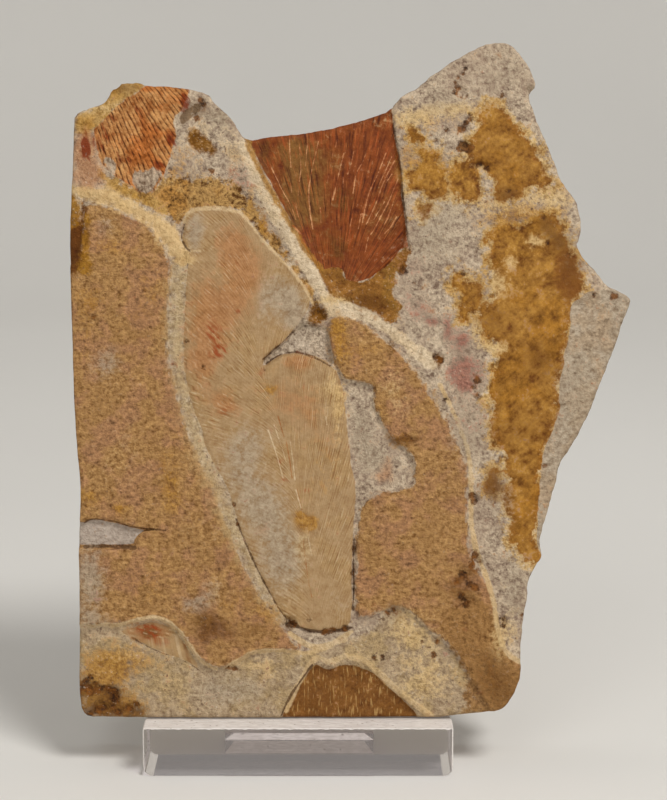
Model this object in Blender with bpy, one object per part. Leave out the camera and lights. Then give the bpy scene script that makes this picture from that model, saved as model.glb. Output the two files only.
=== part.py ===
"""A slab of siltstone with fossil leaf imprints, leaning in a clear two-piece stand.

Metres, +Z up. The origin is the centre of the stand's underside and +Y points away from the viewer.
The slab is modelled upright in its own frame and leans back with an empty, as does what it rests on.
Outlines are points chosen by eye, in pixels of the reference photograph (x right, y down).
"""

import math

import bmesh
import bpy
import numpy as np
from mathutils import Vector, noise
from mathutils.geometry import delaunay_2d_cdt

# Driving dimensions
SLAB_HEIGHT = 0.150
SLAB_THICKNESS = 0.018
LEAN = math.radians(10)
STAND_WIDTH = 0.068
STAND_DEPTH = 0.036
STAND_HEIGHT = 0.011
BAR_DEPTH = 0.0227
FRONT_LEDGE = 0.006
STAND_ROUNDING = 0.0022
BACK_REST_WIDTH = 0.0336
BACK_REST_HEIGHT = 0.068
BACK_REST_THICKNESS = 0.0032
BACK_REST_ROUNDING = 0.0015
FOOT_CORNER = 0.0025
BEND_RADIUS = 0.0012
CLEARANCE = 0.0003

# The photograph's rows and column that fix its scale
TOP_ROW = 40.5
BOTTOM_ROW = 718.5
STAND_COLUMN = 298.4
PIXEL = SLAB_HEIGHT / (BOTTOM_ROW - TOP_ROW)

# Heights of the bedding surfaces, from the top of the brown plates
MATRIX_LEVEL = -0.0011
PLATE_LEVEL = 0.0
LEAF_LEVEL = -0.0005
RED_LEAF_LEVEL = -0.0023
GAP_LEVEL = -0.0020
GOLD_LEVEL = -0.0018
CHIP_LEVEL = -0.0013
FACET_SLOPE = 0.32
UNDULATION = 0.00035

# Mesh spacing
GRID_STEP = 0.0027
LINE_STEP = 0.0022
BACK_STEP = 0.0060
LEDGE_HALF_WIDTH = 0.00035
LINE_CLEAR = 0.0011
RIM_INSET = 0.0009
RIM_DROP = 0.0005
SIDE_ROWS = 5

# Broken sides: how rough, how large their lumps and beds are, and the sawn sides they stop at
BROKEN_ROUGHNESS = 0.0014
LUMP_SIZE = 0.0055
LUMP_TURN = 2.6
BED_LENGTH = 0.020
BED_TURN = 4.5
SAWN_EDGE = (84, BOTTOM_ROW)
SAWN_FOOT = 0.002

SLAB_OUTLINE = [
    (73, 125), (74, 114), (85, 108), (99, 104), (106, 99), (111, 89), (117, 87), (122, 81.5),
    (140, 81.5), (146, 85), (165, 85), (184, 87), (208, 92), (214, 102), (231, 116), (239, 131),
    (247, 139.5), (268, 135), (290, 133.5), (318, 129.5), (340, 124.5), (369, 117), (391, 108.5),
    (396, 101), (405, 92.5), (417, 87), (430, 76), (441, 68.5), (453, 60), (465, 53), (478, 46),
    (489, 42), (498, 40.5), (510, 43), (519, 50), (524, 57), (530, 65), (535, 76), (537, 86),
    (531, 92), (530, 100), (534, 108), (540, 125), (548, 144), (554, 157), (559, 172), (564, 184),
    (572, 192), (579, 204), (583, 227), (580, 240), (577, 245), (585, 259), (599, 272), (608, 285),
    (620, 289.5), (632, 296), (635, 301), (627, 319), (621, 338), (612, 361), (601, 388), (591, 415),
    (580, 435), (572, 449), (561, 465), (558, 480), (549, 511), (541, 537), (541, 551), (544, 557),
    (537, 566), (532, 575), (528, 586), (529, 597), (525, 610), (524, 624), (521, 650), (522, 674),
    (516, 691), (509, 704), (500, 711), (478, 713.5), (455, 716), (436, 718.5), (95, 718.5),
    (84, 715.5), (80, 706), (78.5, 685), (79, 640), (79.5, 600), (78, 540), (80.3, 505), (80, 480),
    (76.5, 448), (74, 405), (72.5, 360), (70.5, 285), (68.8, 230), (71, 190), (72.5, 150),
]
PLATE_LEFT = [
    (84, 200), (110, 207), (128, 215), (150, 225), (158, 238), (168, 253), (171, 280), (166, 320),
    (166, 350), (172, 380), (183, 420), (197, 455), (213, 490), (226, 525), (240, 560), (256, 590),
    (273, 617), (292, 640), (303, 650), (270, 650), (255, 651), (243, 658), (228, 667), (212, 668),
    (194, 655), (182, 634), (172, 625), (160, 619), (135, 622), (105, 626), (60, 626), (60, 268),
    (76, 264), (83, 230),
]
PLATE_RIGHT = [
    (328, 318), (345, 316), (362, 322), (388, 343), (413, 365), (428, 392), (444, 418), (457, 445),
    (467, 466), (466, 510), (470, 560), (492, 590), (497, 615), (501, 640), (511, 660), (540, 668),
    (540, 730), (500, 730), (472, 680), (455, 650), (430, 630), (400, 602), (370, 618), (354, 614),
    (356, 545), (363, 494), (412, 490), (416, 470), (412, 452), (392, 440), (380, 418), (372, 398),
    (378, 384), (345, 380), (338, 368), (331, 350),
]
LEAF_PAIR = [
    (183, 226), (186, 215), (193, 209), (222, 207), (241, 212), (254, 228), (280, 257), (297, 275),
    (313, 302), (320, 330), (337, 370), (344, 390), (348, 430), (351, 466), (356, 490), (354, 520),
    (352, 560), (352, 600), (350, 627), (322, 632), (300, 629), (286, 617), (269, 592), (252, 558),
    (236, 519), (221, 477), (205, 443), (192, 407), (184, 362), (184, 310), (187, 260),
]
RED_LEAF = [
    (240, 120), (250, 148), (262, 170), (276, 196), (294, 228), (306, 250), (322, 270), (331, 288),
    (352, 290), (380, 270), (396, 254), (406, 240), (404, 205), (400, 170), (396, 140), (391, 95),
]
GAP_BETWEEN_LEAVES = [
    (304, 320), (290, 337), (276, 349), (262, 358), (263, 368), (276, 358), (292, 352), (318, 358),
    (334, 367), (331, 345), (328, 326), (318, 328),
]
BOTTOM_GOLD = [
    (277, 730), (289, 701), (301, 683), (315, 662), (327, 672), (345, 664), (372, 671), (393, 692),
    (410, 706), (426, 730),
]
LEFT_CHIP = [
    (60, 523), (84, 523), (92, 519), (118, 522), (132, 528), (160, 530), (142, 532), (135, 540),
    (135, 549), (60, 549),
]
FACET_LINE = [
    (575, 262), (586, 285), (571, 300), (570, 340), (563, 360), (559, 400), (552, 425), (545, 450),
    (543, 480), (540, 500),
]
LEDGES = [
    (PLATE_LEFT, PLATE_LEVEL), (PLATE_RIGHT, PLATE_LEVEL), (LEAF_PAIR, LEAF_LEVEL),
    (RED_LEAF, RED_LEAF_LEVEL), (GAP_BETWEEN_LEAVES, GAP_LEVEL), (BOTTOM_GOLD, GOLD_LEVEL),
    (LEFT_CHIP, CHIP_LEVEL),
]

# Raised lines: points, half width in pixels, height in metres
RIDGES = [
    ([(240, 148), (262, 188), (285, 230), (305, 262), (325, 292)], 11, 0.0007),
    ([(330, 308), (352, 310), (376, 322), (404, 346), (430, 376), (448, 408), (466, 446)], 8, 0.0004),
    ([(74, 188), (103, 195), (130, 207), (160, 226), (180, 250)], 7, 0.0005),
    ([(286, 712), (302, 676), (317, 656), (345, 652), (376, 664), (400, 690), (428, 714)], 5, 0.0004),
    ([(120, 628), (152, 619), (176, 627), (192, 650), (214, 669)], 4, 0.0003),
]

# Pits: centre and radius in pixels, depth in metres
PITS = [
    (192, 112, 12, 0.0010), (203, 140, 14, 0.0005), (315, 314, 12, 0.0006), (88, 686, 9, 0.0008),
    (112, 694, 9, 0.0010), (100, 710, 11, 0.0010), (132, 709, 8, 0.0008), (477, 564, 9, 0.0008),
    (466, 575, 9, 0.0006), (468, 604, 10, 0.0009), (503, 623, 6, 0.0008), (522, 616, 5, 0.0008),
    (440, 360, 8, 0.0007), (464, 127, 7, 0.0007), (466, 146, 7, 0.0007), (461, 91, 7, 0.0006),
    (481, 165, 7, 0.0006), (475, 499, 6, 0.0007), (291, 622, 6, 0.0008), (530, 90, 6, 0.0012),
]


def clear_scene():
    for obj in list(bpy.data.objects):
        bpy.data.objects.remove(obj, do_unlink=True)


def new_collection(name):
    collection = bpy.data.collections.new(name)
    bpy.context.scene.collection.children.link(collection)
    return collection


def move_to(obj, collection):
    for old in list(obj.users_collection):
        old.objects.unlink(obj)
    collection.objects.link(obj)


def make_material(name, colour, roughness, alpha=1.0):
    material = bpy.data.materials.new(name)
    material.use_nodes = True
    shader = material.node_tree.nodes["Principled BSDF"]
    shader.inputs["Base Color"].default_value = (*colour, 1.0)
    shader.inputs["Roughness"].default_value = roughness
    shader.inputs["Metallic"].default_value = 0.0
    shader.inputs["Alpha"].default_value = alpha
    return material


def to_slab(pixels):
    """Photograph pixels to (across, up) on the slab's face, from the middle of the stand."""
    places = np.array(pixels, float)
    return np.column_stack([places[:, 0] - STAND_COLUMN, BOTTOM_ROW - places[:, 1]]) * PIXEL


def segment_distance(points, starts, ends):
    """Distance of each point to the nearest of these segments."""
    nearest = np.full(len(points), np.inf)
    for start, end in zip(starts, ends):
        along = end - start
        share = np.clip((points - start) @ along / max(along @ along, 1e-18), 0, 1)
        gap = np.linalg.norm(points - start - share[:, None] * along, axis=1)
        nearest = np.minimum(nearest, gap)
    return nearest


def inside(points, outline):
    """Whether each point lies in the closed outline."""
    within = np.zeros(len(points), bool)
    for start, end in zip(outline, np.roll(outline, -1, axis=0)):
        crosses = (start[1] > points[:, 1]) != (end[1] > points[:, 1])
        rise = end[1] - start[1] if end[1] != start[1] else 1e-18
        edge_x = start[0] + (points[:, 1] - start[1]) * (end[0] - start[0]) / rise
        within ^= crosses & (points[:, 0] < edge_x)
    return within


def depth_inside(points, outline):
    """Distance to the closed outline, positive inside it."""
    distance = segment_distance(points, outline, np.roll(outline, -1, axis=0))
    return np.where(inside(points, outline), distance, -distance)


def line_distance(points, line):
    return segment_distance(points, line[:-1], line[1:])


def refine(outline, step):
    """The closed outline with its own corners kept and long stretches divided."""
    points = []
    for start, end in zip(outline, np.roll(outline, -1, axis=0)):
        pieces = max(int(round(np.linalg.norm(end - start) / step)), 1)
        points += [start + (end - start) * i / pieces for i in range(pieces)]
    return np.array(points)


def shifted(line, amount):
    """The closed line moved sideways, to its left where the amount is positive."""
    tangent = np.roll(line, -1, axis=0) - np.roll(line, 1, axis=0)
    tangent /= np.linalg.norm(tangent, axis=1)[:, None]
    normal = np.column_stack([-tangent[:, 1], tangent[:, 0]])
    return line + amount * normal


def wave(points, size, seed):
    """Smooth noise between -1 and 1 at each point, for features of this size."""
    return np.array([noise.noise(Vector((x / size, y / size, seed))) for x, y in points])


def soft_step(distance, half_width):
    share = np.clip(distance / half_width, -1, 1)
    return 0.5 + 0.75 * share - 0.25 * share**3


def face_height(points):
    """Height of the slab's front face at each (across, up), from the top of the plates."""
    height = np.full(len(points), MATRIX_LEVEL)
    for outline, level in LEDGES:
        share = soft_step(depth_inside(points, to_slab(outline)), LEDGE_HALF_WIDTH)
        height += share * (level - height)
    for line, half_width, rise in RIDGES:
        distance = line_distance(points, to_slab(line)) / (half_width * PIXEL)
        height += rise * np.exp(-(distance**2))
    for x, y, radius, depth in PITS:
        distance = np.linalg.norm(points - to_slab([(x, y)]), axis=1) / (radius * PIXEL)
        height -= depth * np.clip(1 - distance**2, 0, 1)
    height -= FACET_SLOPE * facet_run(points)
    height += UNDULATION * (wave(points, 0.012, 1.3) + 0.5 * wave(points, 0.005, 7.1))
    return height


def facet_run(points):
    """How far each point lies out on the broken facet at the right edge."""
    line = to_slab(FACET_LINE)
    line_x = np.interp(points[:, 1], line[::-1, 1], line[::-1, 0])
    beyond = (points[:, 0] > line_x) & (points[:, 1] < line[0, 1]) & (points[:, 1] > line[-1, 1])
    return np.where(beyond, line_distance(points, line), 0.0)


def grid_points(outline, step, seed):
    """Staggered points over the outline's box, a little displaced."""
    low, high = outline.min(axis=0), outline.max(axis=0)
    rows = np.arange(low[1], high[1], step * math.sqrt(3) / 2)
    points = [
        (x + (row % 2) * step / 2, y)
        for row, y in enumerate(rows)
        for x in np.arange(low[0], high[0], step)
    ]
    points = np.array(points)
    shift = np.column_stack([wave(points, step * 1.7, seed), wave(points, step * 1.7, seed + 5)])
    return points + 0.35 * step * shift


def ledge_lines():
    """The two constraint lines of each ledge: its top edge and its foot."""
    lines = []
    for outline, _ in LEDGES:
        line = refine(to_slab(outline), LINE_STEP)
        lines.append(shifted(line, LEDGE_HALF_WIDTH))
        lines.append(shifted(line, -LEDGE_HALF_WIDTH))
    return lines


def face_triangles(rim, lines, grid):
    """Triangles over the area in the rim, with edges along the lines."""
    points = [tuple(point) for point in rim]
    edges = [(i, (i + 1) % len(rim)) for i in range(len(rim))]
    for line in lines:
        keep = depth_inside(line, rim) > RIM_INSET * 0.8
        first = len(points)
        kept = {index: first + order for order, index in enumerate(np.flatnonzero(keep))}
        points += [tuple(line[index]) for index in kept]
        for index in kept:
            after = (index + 1) % len(line)
            if after in kept:
                edges.append((kept[index], kept[after]))
    clear = depth_inside(grid, rim) > LINE_CLEAR
    for line in lines:
        clear &= segment_distance(grid, line, np.roll(line, -1, axis=0)) > LINE_CLEAR * 0.7
    points += [tuple(point) for point in grid[clear]]
    result = delaunay_2d_cdt([Vector(point) for point in points], edges, [], 0, 1e-6)
    places = np.array([tuple(place) for place in result[0]])
    faces = np.array(result[2])
    within = inside(places[faces].mean(axis=1), rim)
    return places, faces[within]


def ordered(edges):
    """Vertices of one closed run of directed edges."""
    first = min(edges)
    loop = [first]
    while edges[loop[-1]] != first:
        loop.append(edges[loop[-1]])
    return loop


def boundary(faces):
    """Ordered boundary loop of a set of triangles."""
    used = {}
    for a, b, c in faces.tolist():
        for start, end in ((a, b), (b, c), (c, a)):
            used[(start, end)] = True
    edges = {start: end for start, end in used if (end, start) not in used}
    return ordered(edges)


def side_shift(rim, share):
    """How far each rim point moves inwards at this share of the thickness."""
    sawn = (rim[:, 0] < to_slab([SAWN_EDGE])[0, 0]) | (rim[:, 1] < SAWN_FOOT)
    lumps = wave(rim, LUMP_SIZE, 11 + LUMP_TURN * share)
    beds = wave(rim, BED_LENGTH, 21 + BED_TURN * share)
    depth = BROKEN_ROUGHNESS * np.clip(0.5 + lumps + beds, 0, None)
    return np.where(sawn, 0.0, depth) * min(1.0, SIDE_ROWS * share / 2)


def slab_shell():
    """Vertices and faces of the whole slab in its own frame."""
    rim = refine(to_slab(SLAB_OUTLINE)[::-1], LINE_STEP)
    inner = shifted(rim, RIM_INSET)
    grid = grid_points(rim, GRID_STEP, 3.0)
    front, faces = face_triangles(rim, [inner] + ledge_lines(), grid)
    height = face_height(front)
    loop = boundary(faces)
    height[loop] -= RIM_DROP
    vertices = [Vector((x, -h, y)) for (x, y), h in zip(front, height)]
    polygons = [tuple(face) for face in faces.tolist()]
    row = loop
    for step in range(1, SIDE_ROWS + 1):
        share = step / SIDE_ROWS
        ring = shifted(front[loop], side_shift(front[loop], share)[:, None])
        depth = height[loop] * (1 - share) - SLAB_THICKNESS * share
        first = len(vertices)
        vertices += [Vector((x, -h, max(y, 0.0))) for (x, y), h in zip(ring, depth)]
        new_row = list(range(first, first + len(loop)))
        for i in range(len(loop)):
            j = (i + 1) % len(loop)
            polygons.append((row[j], row[i], new_row[i], new_row[j]))
        row = new_row
    return vertices, polygons, row


def close_back(vertices, polygons, row):
    """Adds the back face over the last side row."""
    rim = np.array([(vertices[index].x, vertices[index].z) for index in row])
    grid = grid_points(rim, BACK_STEP, 40.0)
    places, faces = face_triangles(rim, [], grid)
    known = {(round(x, 7), round(y, 7)): index for (x, y), index in zip(rim, row)}
    depth = SLAB_THICKNESS + UNDULATION * wave(places, 0.015, 31.0)
    numbers = []
    for (x, y), d in zip(places, depth):
        index = known.get((round(x, 7), round(y, 7)))
        if index is None:
            index = len(vertices)
            vertices.append(Vector((x, d, y)))
        numbers.append(index)
    for a, b, c in faces.tolist():
        polygons.append((numbers[c], numbers[b], numbers[a]))


def make_slab(collection, lean_frame):
    vertices, polygons, row = slab_shell()
    close_back(vertices, polygons, row)
    mesh = bpy.data.meshes.new("fossil_slab")
    mesh.from_pydata(vertices, [], polygons)
    mesh.update()
    slab = bpy.data.objects.new("fossil_slab", mesh)
    collection.objects.link(slab)
    mesh.materials.append(make_material("fossil_stone", (0.48, 0.32, 0.17), 0.85))
    slab.parent = lean_frame
    slab.location = (0, 0, CLEARANCE)
    return slab


def add_box(name, low, high, collection):
    """A box between two corners, with its origin at its middle."""
    bpy.ops.mesh.primitive_cube_add(size=1)
    box = bpy.context.object
    box.name = box.data.name = name
    for vertex in box.data.vertices:
        vertex.co = [vertex.co[axis] * (high[axis] - low[axis]) for axis in range(3)]
    box.location = [(low[axis] + high[axis]) / 2 for axis in range(3)]
    move_to(box, collection)
    return box


def hide_cutter(cutter):
    cutter.hide_render = True
    cutter.display_type = "WIRE"


def cut(obj, cutter, name):
    modifier = obj.modifiers.new(name, "BOOLEAN")
    modifier.operation = "DIFFERENCE"
    modifier.solver = "EXACT"
    modifier.object = cutter


def round_edges(obj, width, segments, chosen):
    """Rounds the edges whose middle the chosen test accepts."""
    mesh = bmesh.new()
    mesh.from_mesh(obj.data)
    edges = [edge for edge in mesh.edges if chosen((edge.verts[0].co + edge.verts[1].co) / 2)]
    bmesh.ops.bevel(
        mesh, geom=edges, offset=width, segments=segments, profile=0.5, affect="EDGES"
    )
    mesh.to_mesh(obj.data)
    mesh.free()


def make_stand_base(collection, cutters, lean_frame, clear_plastic):
    """The front bar, with the sloping seat that the slab stands on."""
    half_width, front = STAND_WIDTH / 2, -STAND_DEPTH / 2
    low = (-half_width, front, 0)
    high = (half_width, front + BAR_DEPTH, STAND_HEIGHT)
    base = add_box("stand_base", low, high, collection)
    round_edges(
        base,
        STAND_ROUNDING,
        5,
        lambda middle: abs(middle.x) > half_width * 0.99 and middle.z < -STAND_HEIGHT * 0.49,
    )
    base.data.materials.append(clear_plastic)
    seat_low = (-STAND_WIDTH, 0, 0)
    seat_high = (STAND_WIDTH, BAR_DEPTH, STAND_HEIGHT)
    seat = add_box("seat_cutter", seat_low, seat_high, cutters)
    seat.parent = lean_frame
    hide_cutter(seat)
    cut(base, seat, "seat")


def rest_profile():
    """(depth, height) corners of the bent sheet that the slab leans on, and its bend's inner one."""
    front = SLAB_THICKNESS + UNDULATION + CLEARANCE
    back = front + BACK_REST_THICKNESS
    origin = FRONT_LEDGE - STAND_DEPTH / 2

    def at_height(depth, height):
        lean = (height - STAND_HEIGHT) * math.tan(LEAN)
        return (origin + depth / math.cos(LEAN) + lean, height)

    def on_sheet(depth, up):
        across = origin + depth * math.cos(LEAN) + up * math.sin(LEAN)
        return (across, STAND_HEIGHT - depth * math.sin(LEAN) + up * math.cos(LEAN))

    bend = at_height(back, BACK_REST_THICKNESS)
    rear = STAND_DEPTH / 2
    foot = [at_height(front, 0), (rear, 0), (rear, BACK_REST_THICKNESS)]
    return foot + [bend, on_sheet(back, BACK_REST_HEIGHT), on_sheet(front, BACK_REST_HEIGHT)], bend


def make_back_rest(collection, clear_plastic):
    """A narrow sheet bent into a foot on the table and an upright behind the slab."""
    profile, bend = rest_profile()
    half_width = BACK_REST_WIDTH / 2
    mesh = bmesh.new()
    rings = []
    for x in (-half_width, half_width):
        rings.append([mesh.verts.new((x, depth, height)) for depth, height in profile])
    mesh.faces.new(rings[0])
    mesh.faces.new(rings[1][::-1])
    for i in range(len(profile)):
        j = (i + 1) % len(profile)
        mesh.faces.new((rings[0][j], rings[0][i], rings[1][i], rings[1][j]))
    bmesh.ops.recalc_face_normals(mesh, faces=mesh.faces)
    rest = bpy.data.objects.new("stand_back_rest", bpy.data.meshes.new("stand_back_rest"))
    mesh.to_mesh(rest.data)
    mesh.free()
    collection.objects.link(rest)
    rear, top = STAND_DEPTH / 2, profile[-1][1]
    bend_middle = Vector((0, *bend))
    round_edges(rest, BEND_RADIUS, 3, lambda middle: (middle - bend_middle).length < 1e-5)
    round_edges(
        rest,
        FOOT_CORNER,
        1,
        lambda middle: abs(middle.x) > half_width * 0.99 and middle.y > rear - 1e-5,
    )
    round_edges(
        rest,
        BACK_REST_ROUNDING,
        3,
        lambda middle: abs(middle.x) > half_width * 0.99 and middle.z > top - 0.002,
    )
    rest.data.materials.append(clear_plastic)
    return rest


def make_lean_frame(collection):
    """Empty at the seat's front edge, leaning back with the slab."""
    frame = bpy.data.objects.new("lean_frame", None)
    collection.objects.link(frame)
    frame.location = (0, FRONT_LEDGE - STAND_DEPTH / 2, STAND_HEIGHT)
    frame.rotation_euler = (-LEAN, 0, 0)
    return frame


def main():
    clear_scene()
    parts = new_collection("fossil_leaf_slab")
    cutters = new_collection("cutters")
    clear_plastic = make_material("clear_acrylic", (0.86, 0.88, 0.90), 0.05, alpha=0.35)
    lean_frame = make_lean_frame(parts)
    make_slab(parts, lean_frame)
    make_stand_base(parts, cutters, lean_frame, clear_plastic)
    make_back_rest(parts, clear_plastic)


main()
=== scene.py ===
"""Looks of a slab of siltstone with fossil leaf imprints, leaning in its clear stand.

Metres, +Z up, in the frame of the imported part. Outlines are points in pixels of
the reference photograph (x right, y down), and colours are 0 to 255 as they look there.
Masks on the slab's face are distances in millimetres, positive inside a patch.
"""

import math

import bpy
import numpy as np
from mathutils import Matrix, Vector, noise
from mathutils.geometry import delaunay_2d_cdt


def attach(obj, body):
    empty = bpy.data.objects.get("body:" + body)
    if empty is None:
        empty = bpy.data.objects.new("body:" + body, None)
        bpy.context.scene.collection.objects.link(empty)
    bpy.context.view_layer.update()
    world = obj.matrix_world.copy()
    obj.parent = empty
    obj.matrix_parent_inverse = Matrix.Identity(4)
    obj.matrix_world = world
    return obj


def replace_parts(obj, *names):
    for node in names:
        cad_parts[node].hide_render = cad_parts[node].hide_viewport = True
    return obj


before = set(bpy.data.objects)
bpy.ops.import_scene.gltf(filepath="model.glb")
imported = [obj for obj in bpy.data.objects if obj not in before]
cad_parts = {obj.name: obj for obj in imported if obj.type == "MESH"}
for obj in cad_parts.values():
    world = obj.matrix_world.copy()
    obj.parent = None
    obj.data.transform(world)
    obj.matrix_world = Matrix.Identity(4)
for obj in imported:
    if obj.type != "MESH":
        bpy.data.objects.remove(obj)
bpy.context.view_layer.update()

# Dimensions shared with the part's solids
SLAB_HEIGHT = 0.150
SLAB_THICKNESS = 0.018
LEAN = math.radians(10)
STAND_WIDTH = 0.068
STAND_DEPTH = 0.036
STAND_HEIGHT = 0.011
BAR_DEPTH = 0.0227
FRONT_LEDGE = 0.006
CLEARANCE = 0.0003
STAND_ROUNDING = 0.0022

# The bar's bevels and its sawn top, the clouded seam behind the bar, and how clear plastic bends light
EDGE_BEVEL = 0.0003
TOP_BEVEL = 0.0001
BASE_BEVEL = 0.0002
SAW_RAG = 0.00022
RAG_NOISES = ((900, 3), (3000, 9))
BAR_COLUMNS = 220
SEAM_HALF_WIDTH = 0.0167
SEAM_LOW = 0.0034
SEAM_HIGH = 0.0050
SEAM_SLANT_END = 0.0020
SEAM_GAP = 0.00004
SEAM_THICKNESS = 0.0001
SQUARE_CUT = 1000.0
ACRYLIC_IOR = 1.49

# The photograph's frame, and the rows and column that fix its scale
PHOTO_WIDTH = 667
PHOTO_HEIGHT = 800
TOP_ROW = 40.5
BOTTOM_ROW = 718.5
STAND_COLUMN = 298.4
PIXEL = SLAB_HEIGHT / (BOTTOM_ROW - TOP_ROW)
MM = 0.001

# Camera and room
CAMERA_DISTANCE = 0.50
SENSOR = 36.0
NEAREST_SEEN = 0.01
FARTHEST_SEEN = 20
ROOM_RADIUS = 1.5
ROOM_HEIGHT = 1.3
ROOM_TURNS = 96
BEND_STEPS = 12

# Lights: name, place, disc size, power, colour and the point that each looks at
DAYLIGHT = ((1.0, 0.985, 0.96, 1.0), 0.275)
LIGHTS = [
    ("key", (0.45, -0.55, 1.0), 0.42, 8.0, (1.0, 0.98, 0.95), (0.0, 0.0, 0.08)),
    ("fill", (-0.35, -1.0, 0.95), 0.7, 2.3, (1.0, 0.99, 0.97), (0.0, 0.0, 0.08)),
    ("wall", (-0.1, 0.3, 1.2), 0.7, 2.2, (1.0, 0.99, 0.97), (-0.1, 1.5, 0.5)),
]

# Heights of the bedding surfaces, from the top of the brown plates
MATRIX_LEVEL = -0.0011
PLATE_LEVEL = 0.0
LEAF_LEVEL = -0.0005
RED_LEAF_LEVEL = -0.0023
GAP_LEVEL = -0.0020
GOLD_LEVEL = -0.0018
CHIP_LEVEL = -0.0013
BAND_LEVEL = -0.0006
FACET_SLOPE = 0.32
UNDULATION = 0.00035
LEDGE_HALF_WIDTH = 0.00035

# Mesh spacing
FINE_STEP = 0.00035
FACE_STEP = 0.00053
LEDGE_STEP = 0.00045
THIN_LINE_STEP = 0.00040
RIM_STEP = 0.00062
BACK_STEP = 0.0024
SIDE_ROWS = 12
RIM_INSET = 0.0004
RIM_DROP = 0.00035

# The baking map: the face on its left, the back and the strips of the sides on its right
MAP_EDGE = 0.005
MAP_SPAN = 0.98
FACE_NARROWING = 0.97
RIGHT_PART = 0.82
BACK_SPAN = 0.17
SIDE_STRIPS = 6
STRIP_SPAN = 0.165
STRIP_OVERLAP = 0.05
STRIPS_FOOT = 0.26
STRIP_PITCH = 0.12
STRIP_RISE = 0.1

# Distance in millimetres at which a patch is no longer felt
FAR = -4.0

# How patch edges wander: how far, over what length, and the noise's seeds across and up
EDGE_WANDER = ((0.00028, 0.0026, 51, 57), (0.00016, 0.0009, 61, 67))

# Fine relief: height, size and seed of the grain's noises, and how far each mark stands out
GRAIN_RELIEF = ((0.00010, 0.0011, 81), (0.00005, 0.0006, 87))
LUMP_RELIEF = (0.00018, 0.0030, 91)
LEAF_CROWN = 0.00022
LEAF_CROWN_RUN = 1.6
LINE_RISES = {"red_vein": 0.00007, "cream_line": 0.00012, "pale_vein": 0.00006}
DARK_LINE_DROP = 0.00014
IRON_SPOT_DROP = 0.00022

# Broken sides, as in the part's solids, and the finer chips on them
BROKEN_ROUGHNESS = 0.0014
LUMP_SIZE = 0.0055
LUMP_TURN = 2.6
BED_LENGTH = 0.020
BED_TURN = 4.5
CHIP_SIZE = 0.0017
CHIP_DEPTH = 0.00035
SAWN_EDGE = (84, BOTTOM_ROW)
SAWN_FOOT = 0.002
SAW_MARK = 0.00006
SAWN_JAG = 0.00004
BROKEN_JAG = 0.00016
RIM_NOISES = ((0.0011, 44), (0.0030, 47))

SLAB_OUTLINE = [
    (73, 125), (74, 114), (85, 108), (99, 104), (106, 99), (111, 89), (117, 87), (122, 81.5),
    (140, 81.5), (146, 85), (165, 85), (184, 87), (208, 92), (214, 102), (231, 116), (239, 131),
    (247, 139.5), (268, 135), (290, 133.5), (318, 129.5), (340, 124.5), (369, 117), (391, 108.5),
    (396, 101), (405, 92.5), (417, 87), (430, 76), (441, 68.5), (453, 60), (465, 53), (478, 46),
    (489, 42), (498, 40.5), (510, 43), (519, 50), (524, 57), (530, 65), (535, 76), (537, 86),
    (531, 92), (530, 100), (534, 108), (540, 125), (548, 144), (554, 157), (559, 172), (564, 184),
    (572, 192), (579, 204), (583, 227), (580, 240), (577, 245), (585, 259), (599, 272), (608, 285),
    (620, 289.5), (632, 296), (635, 301), (627, 319), (621, 338), (612, 361), (601, 388), (591, 415),
    (580, 435), (572, 449), (561, 465), (558, 480), (549, 511), (541, 537), (541, 551), (544, 557),
    (537, 566), (532, 575), (528, 586), (529, 597), (525, 610), (524, 624), (521, 650), (522, 674),
    (516, 691), (509, 704), (500, 711), (478, 713.5), (455, 716), (436, 718.5), (95, 718.5),
    (84, 715.5), (80, 706), (78.5, 685), (79, 640), (79.5, 600), (78, 540), (80.3, 505), (80, 480),
    (76.5, 448), (74, 405), (72.5, 360), (70.5, 285), (68.8, 230), (71, 190), (72.5, 150),
]

# Patches with their own level
PLATE_LEFT = [
    (84, 200), (110, 207), (128, 215), (150, 225), (158, 238), (168, 253), (171, 280), (166, 320),
    (166, 350), (172, 380), (183, 420), (197, 455), (213, 490), (226, 525), (240, 560), (256, 590),
    (273, 617), (292, 640), (303, 650), (270, 650), (255, 651), (243, 658), (228, 667), (212, 668),
    (194, 655), (182, 634), (172, 625), (160, 619), (135, 622), (105, 626), (60, 626), (60, 268),
    (76, 264), (83, 230),
]
PLATE_RIGHT = [
    (328, 318), (345, 316), (362, 322), (388, 343), (413, 365), (428, 392), (444, 418), (457, 445),
    (467, 466), (466, 510), (470, 560), (492, 590), (497, 615), (501, 640), (511, 660), (540, 668),
    (540, 730), (500, 730), (472, 680), (455, 650), (430, 630), (400, 602), (370, 618), (354, 614),
    (356, 545), (363, 494), (412, 490), (416, 470), (412, 452), (392, 440), (380, 418), (372, 398),
    (378, 384), (345, 380), (338, 368), (331, 350),
]
LEAF_PAIR = [
    (183, 226), (186, 215), (193, 209), (222, 207), (241, 212), (254, 228), (280, 257), (297, 275),
    (313, 302), (320, 330), (337, 370), (344, 390), (348, 430), (351, 466), (356, 490), (354, 520),
    (352, 560), (352, 600), (350, 627), (322, 632), (300, 629), (286, 617), (269, 592), (252, 558),
    (236, 519), (221, 477), (205, 443), (192, 407), (184, 362), (184, 310), (187, 260),
]
RED_LEAF = [
    (240, 120), (250, 148), (262, 170), (276, 196), (294, 228), (306, 250), (322, 270), (331, 288),
    (352, 290), (380, 270), (396, 254), (406, 240), (404, 205), (400, 170), (396, 140), (391, 95),
]
GAP_BETWEEN_LEAVES = [
    (304, 320), (290, 337), (276, 349), (262, 358), (263, 368), (276, 358), (292, 352), (318, 358),
    (334, 367), (331, 345), (328, 326), (318, 328),
]
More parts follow.
